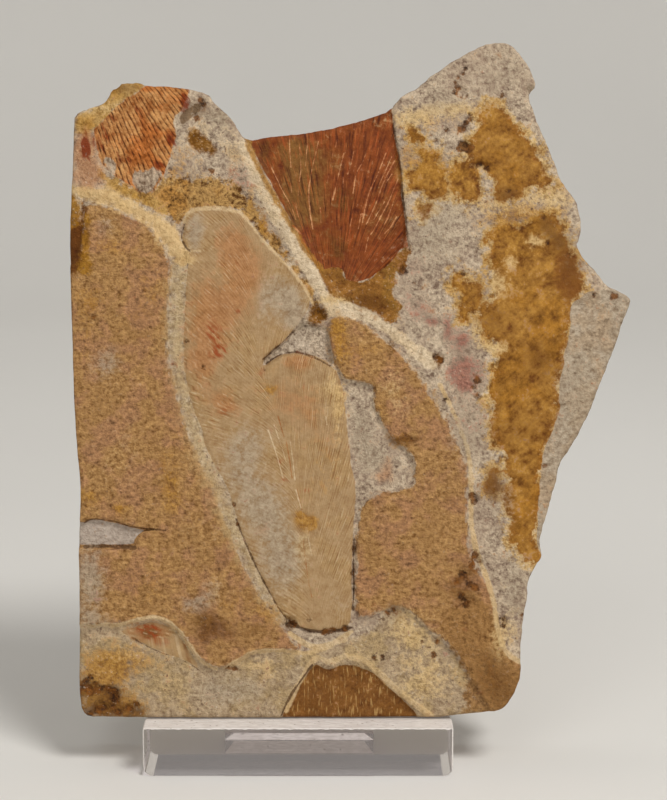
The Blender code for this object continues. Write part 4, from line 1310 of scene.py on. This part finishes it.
def stone_grain_group():
    """Grain of the stone at several sizes, each centred on zero, for places in millimetres."""
    names = ("Sand", "Fibre", "Slant", "Clots", "Hue Clots", "Clouds", "Crumble",
             "Specks", "Pale Specks")
    tree, given, out = new_group("Stone Grain", [("Place", "Vector")], [(n, "Float") for n in names])
    place = given["Place"]
    elsewhere = {0: place, 1: (31.0, 17.0, 5.0)}
    aside = new_node(tree, "ShaderNodeVectorMath", elsewhere, operation="ADD").outputs[0]
    bedded = stretched(tree, place, (0.68, 1.0, 1.1))
    tilt = {0: place, 3: math.radians(42)}
    turned = new_node(tree, "ShaderNodeVectorRotate", tilt, rotation_type="Y_AXIS").outputs[0]
    slanted = stretched(tree, turned, (0.22, 1.0, 1.3))
    for name, source, scale, detail, gain, roughness in (
        ("Sand", place, 1.05, 2.0, 6.0, 0.75), ("Fibre", bedded, 1.05, 2.0, 6.0, 0.7),
        ("Slant", slanted, 1.0, 2.0, 6.0, 0.6), ("Clots", place, 0.42, 3.0, 5.5, 0.6),
        ("Hue Clots", aside, 0.28, 3.0, 5.0, 0.6), ("Clouds", aside, 0.12, 2.0, 5.0, 0.6),
        ("Crumble", aside, 0.40, 5.0, 6.0, 0.72),
    ):
        tree.links.new(centred_noise(tree, source, scale, detail, gain, roughness), out[name])
    tree.links.new(spread(tree, noise_value(tree, place, 1.5, 2.0), 0.62, 0.72), out["Specks"])
    tree.links.new(spread(tree, noise_value(tree, aside, 1.4, 2.0), 0.62, 0.73), out["Pale Specks"])
    return tree


def vein_streak_group():
    """Broken streaks for places as (count across the veins, mm along them)."""
    inputs = [("Place", "Vector"), ("Fineness", "Float"), ("Shortness", "Float")]
    tree, given, out = new_group("Vein Streaks", inputs, [("Lines", "Float")])
    scale = new_node(tree, "ShaderNodeCombineXYZ", {0: given["Fineness"], 1: given["Shortness"]})
    place = stretched(tree, given["Place"], scale.outputs[0])
    tree.links.new(centred_noise(tree, place, 1.0, 2.0, 5.0, 0.6), out["Lines"])
    return tree


def stain_layer_group():
    """Lays one finish over another inside a patch, with a broken edge and a mottled tone."""
    inputs = [
        ("Under", "Color"), ("Depth", "Float"), ("Edge Noise", "Float"), ("Edge Wander", "Float"),
        ("Softness", "Float"), ("Strength", "Float"), ("Deep", "Color"), ("Pale", "Color"),
        ("Tone", "Float"), ("Cloud Colour", "Color"), ("Cloud Share", "Float"),
    ]
    tree, given, out = new_group("Stain Layer", inputs, [("Colour", "Color"), ("Mask", "Float")])
    depth = calc(tree, "MULTIPLY_ADD", given["Edge Noise"], given["Edge Wander"], given["Depth"])
    outer = product(tree, given["Softness"], -1.0)
    mask = product(tree, spread(tree, depth, outer, given["Softness"]), given["Strength"])
    tone = blend(tree, given["Tone"], given["Deep"], given["Pale"])
    tone = blend(tree, given["Cloud Share"], tone, given["Cloud Colour"], "COLOR")
    tree.links.new(blend(tree, mask, given["Under"], tone), out["Colour"])
    tree.links.new(mask, out["Mask"])
    return tree


def new_material(name):
    material = bpy.data.materials.new(name)
    material.use_nodes = True
    tree = material.node_tree
    return material, tree, tree.nodes["Principled BSDF"]


def weighted(tree, grain, names, shares, base=0.0):
    """The sum of shares of the grain's noises, from a base."""
    total = base
    for name, share in zip(names, shares):
        if share:
            total = calc(tree, "MULTIPLY_ADD", grain[name], share, total)
    return total


def tone_of(tree, grain, shares):
    """Where the grain stands between a finish's deep and pale colours."""
    shares = [share * GRAIN_CONTRAST for share in shares]
    return weighted(tree, grain, ("Sand", "Fibre", "Clots", "Slant"), shares, 0.5)


def cloud_share(tree, grain, amount):
    value = calc(tree, "MULTIPLY_ADD", grain["Hue Clots"], 0.7, grain["Clouds"])
    return product(tree, spread(tree, value, -0.35, 0.75), amount)


def leaf_face_material(grain_group, layer_group, streak_group):
    """The split face: matrix, plates, leaves, films and stains, laid one over another."""
    material, tree, shader = new_material("split_face_with_leaves")
    place = place_of(tree, "bed")
    grain = use_group(tree, grain_group, {"Place": place})
    tone = tone_of(tree, grain, (0.22, 0.0, 0.20, 0.0))
    colour = blend(tree, tone, srgb((116, 94, 78)), srgb((226, 206, 178)))
    colour = blend(tree, cloud_share(tree, grain, 0.35), colour, srgb((166, 142, 122)))
    masks = {}
    for name, grow, deep, pale, cloud, wander, softness, strength, shares, clouds in FACE_FINISHES:
        layer = use_group(tree, layer_group, {
            "Under": colour, "Depth": calc(tree, "ADD", read(tree, name), grow),
            "Edge Noise": grain["Crumble"], "Edge Wander": wander, "Softness": softness,
            "Strength": strength, "Deep": srgb(deep), "Pale": srgb(pale),
            "Tone": tone_of(tree, grain, shares), "Cloud Colour": srgb(cloud),
            "Cloud Share": cloud_share(tree, grain, clouds),
        })
        colour = layer["Colour"]
        if grow == 0:
            masks[name] = layer["Mask"]
    for name, deep, pale, strength, shares in FACE_STAINS:
        noisy = weighted(tree, grain, STAIN_NOISES, shares, read(tree, name))
        colour = use_group(tree, layer_group, {
            "Under": colour, "Depth": calc(tree, "SUBTRACT", noisy, 0.5), "Edge Wander": 0.0,
            "Softness": 0.35, "Strength": strength, "Deep": srgb(deep), "Pale": srgb(pale),
            "Tone": tone_of(tree, grain, (0.22, 0.10, 0.14, 0.0)), "Cloud Share": 0.0,
        })["Colour"]
    colour = leaf_veins(tree, streak_group, colour, masks["leaf"], grain)
    colour = red_leaf_veins(tree, streak_group, colour, masks["red_leaf"])
    colour = rib_furrows(tree, streak_group, colour, masks)
    colour = vein_strokes(tree, layer_group, colour, grain)
    colour = upright_dashes(tree, colour, place, masks["bottom_gold"])
    colour, spots = iron_and_specks(tree, layer_group, colour, grain, masks)
    tree.links.new(colour, shader.inputs["Base Color"])
    film = calc(tree, "MAXIMUM", masks["gold_film"], masks["red_leaf"])
    film = calc(tree, "MAXIMUM", film, masks["bottom_gold"])
    shine = calc(tree, "MULTIPLY_ADD", film, -0.28, 0.88)
    shine = calc(tree, "MULTIPLY_ADD", grain["Sand"], 0.06, shine)
    tree.links.new(shine, shader.inputs["Roughness"])
    shader.inputs["Specular IOR Level"].default_value = 0.2
    add_bump(tree, shader, face_relief(tree, grain, masks, film, spots), 1.0, 0.00016)
    return material


def crests(tree, count, sharpness):
    """Narrow crests where the count is a whole number, from 0 to 1."""
    swing = calc(tree, "COSINE", product(tree, count, 2 * math.pi))
    return calc(tree, "POWER", calc(tree, "MULTIPLY_ADD", swing, 0.5, 0.5), sharpness)


def vein_lines(tree, place, streaks, shift, sharpness, wander):
    """Thin lines along the veins, a little displaced, at whole counts plus the shift."""
    count = new_node(tree, "ShaderNodeSeparateXYZ", {0: place}).outputs[0]
    count = calc(tree, "MULTIPLY_ADD", streaks, wander, calc(tree, "ADD", count, shift))
    return crests(tree, count, sharpness)


def leaf_veins(tree, streak_group, colour, mask, grain):
    """Fine pale and tan veins over the leaf pair, in broken lines, some of them red."""
    place = place_of(tree, "leaf_veins")
    fine = use_group(tree, streak_group, {"Place": place, "Fineness": 1.1, "Shortness": 0.6})["Lines"]
    broad = use_group(tree, streak_group, {"Place": place, "Fineness": 0.5, "Shortness": 0.16})["Lines"]
    strong = spread(tree, calc(tree, "ADD", grain["Clouds"], grain["Hue Clots"]), -1.0, 1.0, 0.35, 1.0)
    faded = calc(tree, "MULTIPLY_ADD", read(tree, "grey_tint"), -0.8, 1.0, clamp=True)
    strong = product(tree, strong, product(tree, mask, faded))
    broken = spread(tree, fine, -0.3, 0.7, 0.0, 1.0)
    line = product(tree, vein_lines(tree, place, broad, 0.0, 2.6, 0.32), broken)
    colour = blend(tree, product(tree, line, strong, 0.7), colour, srgb((122, 74, 34)))
    gleam = spread(tree, fine, -0.6, -0.1, 1.0, 0.1)
    gleam = product(tree, vein_lines(tree, place, broad, 0.5, 2.6, 0.32), gleam, strong, 0.4)
    colour = blend(tree, gleam, colour, srgb((226, 206, 172)))
    red = calc(tree, "MULTIPLY_ADD", broad, 0.3, read(tree, "red_tint"))
    red = product(tree, spread(tree, red, 0.22, 0.85), spread(tree, fine, -0.6, 0.7, 0.0, 0.85))
    return blend(tree, product(tree, red, mask), colour, srgb((152, 66, 28)))


def red_leaf_veins(tree, streak_group, colour, mask):
    """Dark and light streaks that fan over the red leaf."""
    place = place_of(tree, "red_veins")
    fine = use_group(tree, streak_group, {"Place": place, "Fineness": 0.9, "Shortness": 0.14})["Lines"]
    hair = use_group(tree, streak_group, {"Place": place, "Fineness": 1.7, "Shortness": 0.25})["Lines"]
    dark = product(tree, spread(tree, fine, 0.1, 1.0, 0.0, 0.8), mask)
    colour = blend(tree, dark, colour, srgb((66, 16, 0)))
    glow = product(tree, spread(tree, fine, -0.2, -1.0, 0.0, 0.5), mask)
    colour = blend(tree, glow, colour, srgb((176, 84, 34)))
    pale = spread(tree, hair, 0.35, 1.0, 0.0, 0.5)
    return blend(tree, product(tree, pale, mask), colour, srgb((186, 112, 58)))


def rib_furrows(tree, streak_group, colour, masks):
    """Dark furrows between the ribs of the ribbed fragment, and its red stains."""
    place = place_of(tree, "ribs")
    long = use_group(tree, streak_group, {"Place": place, "Fineness": 0.9, "Shortness": 0.3})["Lines"]
    short = use_group(tree, streak_group, {"Place": place, "Fineness": 1.3, "Shortness": 0.45})["Lines"]
    ribs = calc(tree, "MULTIPLY_ADD", masks["rib_white"], -0.7, masks["ribbed"], clamp=True)
    red = calc(tree, "MULTIPLY_ADD", long, 0.35, read(tree, "red_tint"))
    red = calc(tree, "MULTIPLY_ADD", short, 0.2, red)
    outside = calc(tree, "SUBTRACT", 1.0, masks["leaf"])
    red = product(tree, spread(tree, red, 0.30, 0.95), outside, 0.9)
    colour = blend(tree, red, colour, srgb((126, 46, 12)))
    share = spread(tree, short, -0.9, 0.5, 0.1, 1.0)
    furrow = product(tree, vein_lines(tree, place, long, 0.5, 3.4, 0.20), share)
    furrow = calc(tree, "MULTIPLY", furrow, ribs, clamp=True)
    return blend(tree, furrow, colour, srgb((78, 34, 10)))


def vein_strokes(tree, layer_group, colour, grain):
    """The single veins that stand out, and the midrib's dashes."""
    strokes = [
        ("red_vein", (160, 84, 38), (230, 172, 122), 0.75),
        ("midrib_line", (146, 84, 34), (172, 114, 60), 0.7),
        ("pale_vein", (196, 170, 134), (222, 202, 170), 0.7),
    ]
    for name, deep, pale, strength in strokes:
        colour = use_group(tree, layer_group, {
            "Under": colour, "Depth": calc(tree, "ADD", read(tree, name), STROKE_NARROWING),
            "Edge Noise": grain["Crumble"], "Edge Wander": 0.12, "Softness": 0.07,
            "Strength": strength, "Deep": srgb(deep), "Pale": srgb(pale),
            "Tone": tone_of(tree, grain, (0.3, 0.0, 0.3, 0.0)), "Cloud Share": 0.0,
        })["Colour"]
    return colour


def upright_dashes(tree, colour, place, mask):
    """Short pale dashes that stand side by side on the gold at the bottom edge."""
    drawn = stretched(tree, place, (2.6, 1.0, 0.42))
    dashes = spread(tree, noise_value(tree, drawn, 1.0, 2.0), 0.55, 0.70, 0.0, 0.6)
    return blend(tree, product(tree, dashes, mask), colour, srgb((196, 158, 98)))


def iron_and_specks(tree, layer_group, colour, grain, masks):
    """Dark iron spots, and the dark and pale grains strewn over the rough stone."""
    spot = use_group(tree, layer_group, {
        "Under": colour, "Depth": read(tree, "iron_spot"), "Edge Noise": grain["Crumble"],
        "Edge Wander": 0.6, "Softness": 0.3, "Strength": 0.9, "Deep": srgb((40, 18, 6)),
        "Pale": srgb((136, 84, 34)), "Tone": tone_of(tree, grain, (0.25, 0.0, 0.3, 0.0)),
        "Cloud Share": 0.0,
    })
    colour = spot["Colour"]
    plain = product(tree, masks["plate"], 0.75)
    for name in SPECKLESS_FINISHES:
        plain = calc(tree, "MAXIMUM", plain, masks[name])
    amount = calc(tree, "MULTIPLY_ADD", plain, -0.7, 0.75)
    amount = product(tree, amount, spread(tree, grain["Clots"], -0.6, 0.8, 0.3, 1.0))
    dark = product(tree, grain["Specks"], amount)
    colour = blend(tree, dark, colour, srgb((92, 64, 54)))
    pale = product(tree, grain["Pale Specks"], product(tree, amount, 0.5))
    colour = blend(tree, pale, colour, srgb((226, 212, 192)))
    return colour, spot["Mask"]


def face_relief(tree, grain, masks, film, spots):
    """Height of the relief that is finer than the mesh."""
    rough = calc(tree, "MULTIPLY_ADD", masks["leaf"], -0.65, 1.0)
    rough = calc(tree, "MULTIPLY_ADD", film, -0.6, rough, clamp=True)
    height = weighted(tree, grain, ("Sand", "Fibre", "Clots"), (0.5, 0.15, 0.4))
    return calc(tree, "MULTIPLY_ADD", spots, -1.0, product(tree, height, rough))


def broken_stone_material(name, grain_group, deep, pale, stain, layering, bump):
    """The stone's sides and back: grained, banded along the bedding and a little stained."""
    material, tree, shader = new_material(name)
    place = place_of(tree, "bed")
    grain = use_group(tree, grain_group, {"Place": place})
    band = centred_noise(tree, stretched(tree, place, (0.08, 1.1, 0.08)), 1.0, 3.0, layering, 0.5)
    tone = calc(tree, "ADD", tone_of(tree, grain, (0.2, 0.0, 0.18, 0.0)), band, clamp=True)
    colour = blend(tree, tone, srgb(deep), srgb(pale))
    stained = calc(tree, "MULTIPLY_ADD", grain["Clots"], 0.35, grain["Clouds"])
    stained = product(tree, spread(tree, stained, 0.1, 0.9), 0.7)
    colour = blend(tree, stained, colour, srgb(stain))
    colour = blend(tree, product(tree, grain["Specks"], 0.5), colour, srgb((92, 70, 48)))
    tree.links.new(colour, shader.inputs["Base Color"])
    tree.links.new(calc(tree, "MULTIPLY_ADD", grain["Sand"], 0.05, 0.88), shader.inputs["Roughness"])
    shader.inputs["Specular IOR Level"].default_value = 0.3
    add_bump(tree, shader, weighted(tree, grain, ("Sand", "Clots"), (0.5, 0.4), band), 0.9, bump)
    return material


def let_lamps_through(tree, shader, colour):
    """Light passes the plastic straight to the table under it and to the stone behind it."""
    rays = new_node(tree, "ShaderNodeLightPath").outputs
    clear = new_node(tree, "ShaderNodeBsdfTransparent", {0: colour}).outputs[0]
    surface = shader.outputs[0]
    for kind in ("Is Diffuse Ray", "Is Shadow Ray"):
        layers = {0: rays[kind], 1: surface, 2: clear}
        surface = new_node(tree, "ShaderNodeMixShader", layers).outputs[0]
    tree.links.new(surface, tree.nodes["Material Output"].inputs["Surface"])


def clear_acrylic_material():
    """Polished clear plastic with faint smears."""
    material, tree, shader = new_material("clear_acrylic_polished")
    place = new_node(tree, "ShaderNodeTexCoord").outputs["Object"]
    smears = noise_value(tree, place, 90.0, 3.0)
    tree.links.new(spread(tree, smears, 0.35, 0.75, 0.03, 0.14), shader.inputs["Roughness"])
    shader.inputs["Base Color"].default_value = srgb((244, 239, 236))
    shader.inputs["Transmission Weight"].default_value = 1.0
    shader.inputs["IOR"].default_value = ACRYLIC_IOR
    let_lamps_through(tree, shader, srgb((244, 242, 246)))
    return material


def matt_acrylic_material(name, clearness, glow):
    """Saw-cut or clouded plastic: white and matt, scratched, dusty, and glowing by a painted emission
    in place of light piped to it.
    """
    material, tree, shader = new_material(name)
    place = new_node(tree, "ShaderNodeTexCoord").outputs["Object"]
    marks = noise_value(tree, stretched(tree, place, (500, 2500, 2500)), 1.0, 3.0, 0.65)
    colour = blend(tree, spread(tree, marks, 0.3, 0.7), srgb((212, 205, 199)), srgb((240, 235, 231)))
    dust = spread(tree, noise_value(tree, place, 1400.0, 1.0), 0.70, 0.76)
    colour = blend(tree, product(tree, dust, 0.6), colour, srgb((120, 100, 84)))
    tree.links.new(colour, shader.inputs["Base Color"])
    # Painted glow: the plastic's own colour is emitted, as if light were piped to it
    tree.links.new(colour, shader.inputs["Emission Color"])
    shader.inputs["Emission Strength"].default_value = glow
    tree.links.new(spread(tree, marks, 0.3, 0.7, 0.45, 0.65), shader.inputs["Roughness"])
    shader.inputs["Transmission Weight"].default_value = clearness
    shader.inputs["IOR"].default_value = ACRYLIC_IOR
    add_bump(tree, shader, marks, 0.5, 0.0001)
    return material


def bar_section(x):
    """(depth, height) corners of the front bar where it is cut at x, and whether each side is sawn."""
    from_end = STAND_WIDTH / 2 - abs(x)
    turn = max(STAND_ROUNDING - from_end, 0.0)
    bottom = STAND_ROUNDING - math.sqrt(STAND_ROUNDING**2 - turn**2)
    inset = max(EDGE_BEVEL - from_end, 0.0)
    front, top = inset - STAND_DEPTH / 2, STAND_HEIGHT - inset
    rear = BAR_DEPTH - STAND_DEPTH / 2 - inset
    seat_drop = (BAR_DEPTH - FRONT_LEDGE) * math.tan(LEAN)
    coarse, fine = [noise.noise(Vector((x * turns, seed, 1))) for turns, seed in RAG_NOISES]
    ragged = SAW_RAG * min(max(0.55 + coarse + 0.5 * fine, 0.25), 1.4)
    return [
        (front, bottom + BASE_BEVEL, False),
        (front, top - TOP_BEVEL - ragged, True),
        (front, top - TOP_BEVEL, True),
        (front + TOP_BEVEL, top, True),
        (FRONT_LEDGE - STAND_DEPTH / 2, top, True),
        (rear, top - seat_drop, False),
        (rear, bottom, False),
        (front + BASE_BEVEL, bottom, False),
    ]


def seam_section(low, high, half_width, slant):
    """Sections of a thin upright sheet behind the bar, with its ends cut at a slant."""
    front = BAR_DEPTH - STAND_DEPTH / 2 + SEAM_GAP

    def section(x):
        top = low + min(high - low, max((half_width - abs(x)) * slant, SEAM_THICKNESS))
        back = front + SEAM_THICKNESS
        return [(front, low, False), (front, top, False), (back, top, False), (back, low, False)]

    return section


def swept_piece(name, columns, section, materials):
    """A closed piece through the sections at these x, with the second material where it is sawn."""
    vertices, faces, sawn = [], [], []
    for x in columns:
        vertices += [(x, depth, height) for depth, height, _ in section(x)]
    sides = [cut for _, _, cut in section(0.0)]
    count = len(sides)
    last_ring = len(columns) - 2
    for ring in range(last_ring + 1):
        for side, cut in enumerate(sides):
            after = (side + 1) % count
            here, there = ring * count, (ring + 1) * count
            faces.append((here + side, there + side, there + after, here + after))
            sawn.append(int(cut or ring in (0, last_ring)))
    last = (last_ring + 1) * count
    faces += [tuple(range(count)), tuple(range(last + count - 1, last - 1, -1))]
    sawn += [0, 0]
    mesh = bpy.data.meshes.new(name)
    mesh.from_pydata(vertices, [], faces)
    if len(materials) > 1:
        mesh.polygons.foreach_set("material_index", sawn)
    for material in materials:
        mesh.materials.append(material)
    mesh.update()
    piece = bpy.data.objects.new(name, mesh)
    bpy.context.scene.collection.objects.link(piece)
    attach(piece, "root")
    return piece


def make_stand_bar(materials):
    """The clear front bar with its sawn top, sloping seat and rounded lower corners."""
    half = STAND_WIDTH / 2
    corner = [STAND_ROUNDING * (1 - math.cos(math.radians(turn))) for turn in range(40, 91, 10)]
    ends = sorted([0.0, EDGE_BEVEL] + corner)
    inner = np.linspace(STAND_ROUNDING - half, half - STAND_ROUNDING, BAR_COLUMNS)[1:-1].tolist()
    columns = [end - half for end in ends] + inner + [half - end for end in reversed(ends)]
    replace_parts(swept_piece("stand_bar", columns, bar_section, materials), "stand_base")


def make_stand_seam(clouded, hazy):
    """The clouded seam and the haze between the front bar and the bent rest behind it, both brightened
    by a painted glow.
    """
    half = SEAM_HALF_WIDTH
    strip_columns = [-half, SEAM_SLANT_END - half, half - SEAM_SLANT_END, half]
    strip = seam_section(SEAM_LOW, SEAM_HIGH, half, (SEAM_HIGH - SEAM_LOW) / SEAM_SLANT_END)
    swept_piece("stand_seam", strip_columns, strip, [clouded])
    haze = seam_section(BASE_BEVEL, SEAM_LOW - BASE_BEVEL, half, SQUARE_CUT)
    swept_piece("stand_haze", strip_columns, haze, [hazy])


def dress_back_rest(acrylic):
    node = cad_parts["stand_back_rest"]
    node.data.materials.clear()
    node.data.materials.append(acrylic)


def make_room():
    """A pale floor that sweeps up into a round wall behind and around the object."""
    bend = ROOM_RADIUS * 0.5
    profile = [(bend, 0.0)]
    for step in range(1, BEND_STEPS + 1):
        angle = math.pi / 2 * step / BEND_STEPS
        profile.append((bend + bend * math.sin(angle), bend * (1 - math.cos(angle))))
    profile.append((ROOM_RADIUS, ROOM_HEIGHT))
    vertices, faces = [], [tuple(range(ROOM_TURNS))]
    for radius, height in profile:
        for turn in range(ROOM_TURNS):
            angle = 2 * math.pi * turn / ROOM_TURNS
            vertices.append((radius * math.cos(angle), radius * math.sin(angle), height))
    for ring in range(len(profile) - 1):
        for turn in range(ROOM_TURNS):
            after = (turn + 1) % ROOM_TURNS
            low, high = ring * ROOM_TURNS, (ring + 1) * ROOM_TURNS
            faces.append((low + turn, high + turn, high + after, low + after))
    mesh = bpy.data.meshes.new("room_sweep")
    mesh.from_pydata(vertices, [], faces)
    mesh.polygons.foreach_set("use_smooth", [True] * len(faces))
    mesh.materials.append(pale_paper_material())
    room = bpy.data.objects.new("room_sweep", mesh)
    bpy.context.scene.collection.objects.link(room)


def pale_paper_material():
    material, tree, shader = new_material("pale_paper_sweep")
    place = new_node(tree, "ShaderNodeTexCoord").outputs["Object"]
    cloud = noise_value(tree, place, 3.0, 2.0)
    colour = blend(tree, cloud, srgb((226, 224, 220)), srgb((236, 234, 230)))
    tree.links.new(colour, shader.inputs["Base Color"])
    shader.inputs["Roughness"].default_value = 0.9
    shader.inputs["Specular IOR Level"].default_value = 0.2
    return material


def photo_centre():
    """The point of the slab's plane at the middle of the photograph, and its outward normal."""
    place = to_slab([(PHOTO_WIDTH / 2, PHOTO_HEIGHT / 2)])
    centre = to_world(np.array([[place[0, 0], 0.0, place[0, 1]]]))[0]
    return Vector(centre), Vector((0, -math.cos(LEAN), math.sin(LEAN)))


def make_camera():
    centre, normal = photo_centre()
    camera = bpy.data.objects.new("camera", bpy.data.cameras.new("camera"))
    camera.data.sensor_width = SENSOR
    camera.data.lens = SENSOR * CAMERA_DISTANCE / (PHOTO_HEIGHT * PIXEL)
    camera.location = centre + normal * CAMERA_DISTANCE
    camera.rotation_euler = (math.pi / 2 - LEAN, 0, 0)
    camera.data.clip_start = NEAREST_SEEN
    camera.data.clip_end = FARTHEST_SEEN
    bpy.context.scene.collection.objects.link(camera)
    bpy.context.scene.camera = camera


def add_area_light(name, place, size, power, colour, target):
    light = bpy.data.lights.new(name, "AREA")
    light.shape = "DISK"
    light.size = size
    light.energy = power
    light.color = colour
    lamp = bpy.data.objects.new(name, light)
    lamp.location = place
    aim = Vector(target) - Vector(place)
    lamp.rotation_euler = aim.to_track_quat("-Z", "Y").to_euler()
    bpy.context.scene.collection.objects.link(lamp)


def make_lights():
    """Soft studio light, plain all round, with two lamps on the object and one on the wall."""
    world = bpy.data.worlds.new("studio")
    world.use_nodes = True
    background = world.node_tree.nodes["Background"]
    colour, strength = DAYLIGHT
    background.inputs["Color"].default_value = colour
    background.inputs["Strength"].default_value = strength
    bpy.context.scene.world = world
    for light in LIGHTS:
        add_area_light(*light)
    bpy.context.scene.view_settings.view_transform = "Standard"


def main():
    grain_group = stone_grain_group()
    face = leaf_face_material(grain_group, stain_layer_group(), vein_streak_group())
    broken = [broken_stone_material(name, grain_group, *look) for name, *look in BROKEN_STONE]
    make_slab([face, *broken])
    acrylic = clear_acrylic_material()
    sawn, clouded, hazy = [matt_acrylic_material(*look) for look in MATT_ACRYLIC]
    make_stand_bar([acrylic, sawn])
    make_stand_seam(clouded, hazy)
    dress_back_rest(acrylic)
    make_room()
    make_camera()
    make_lights()


main()
bpy.context.view_layer.update()
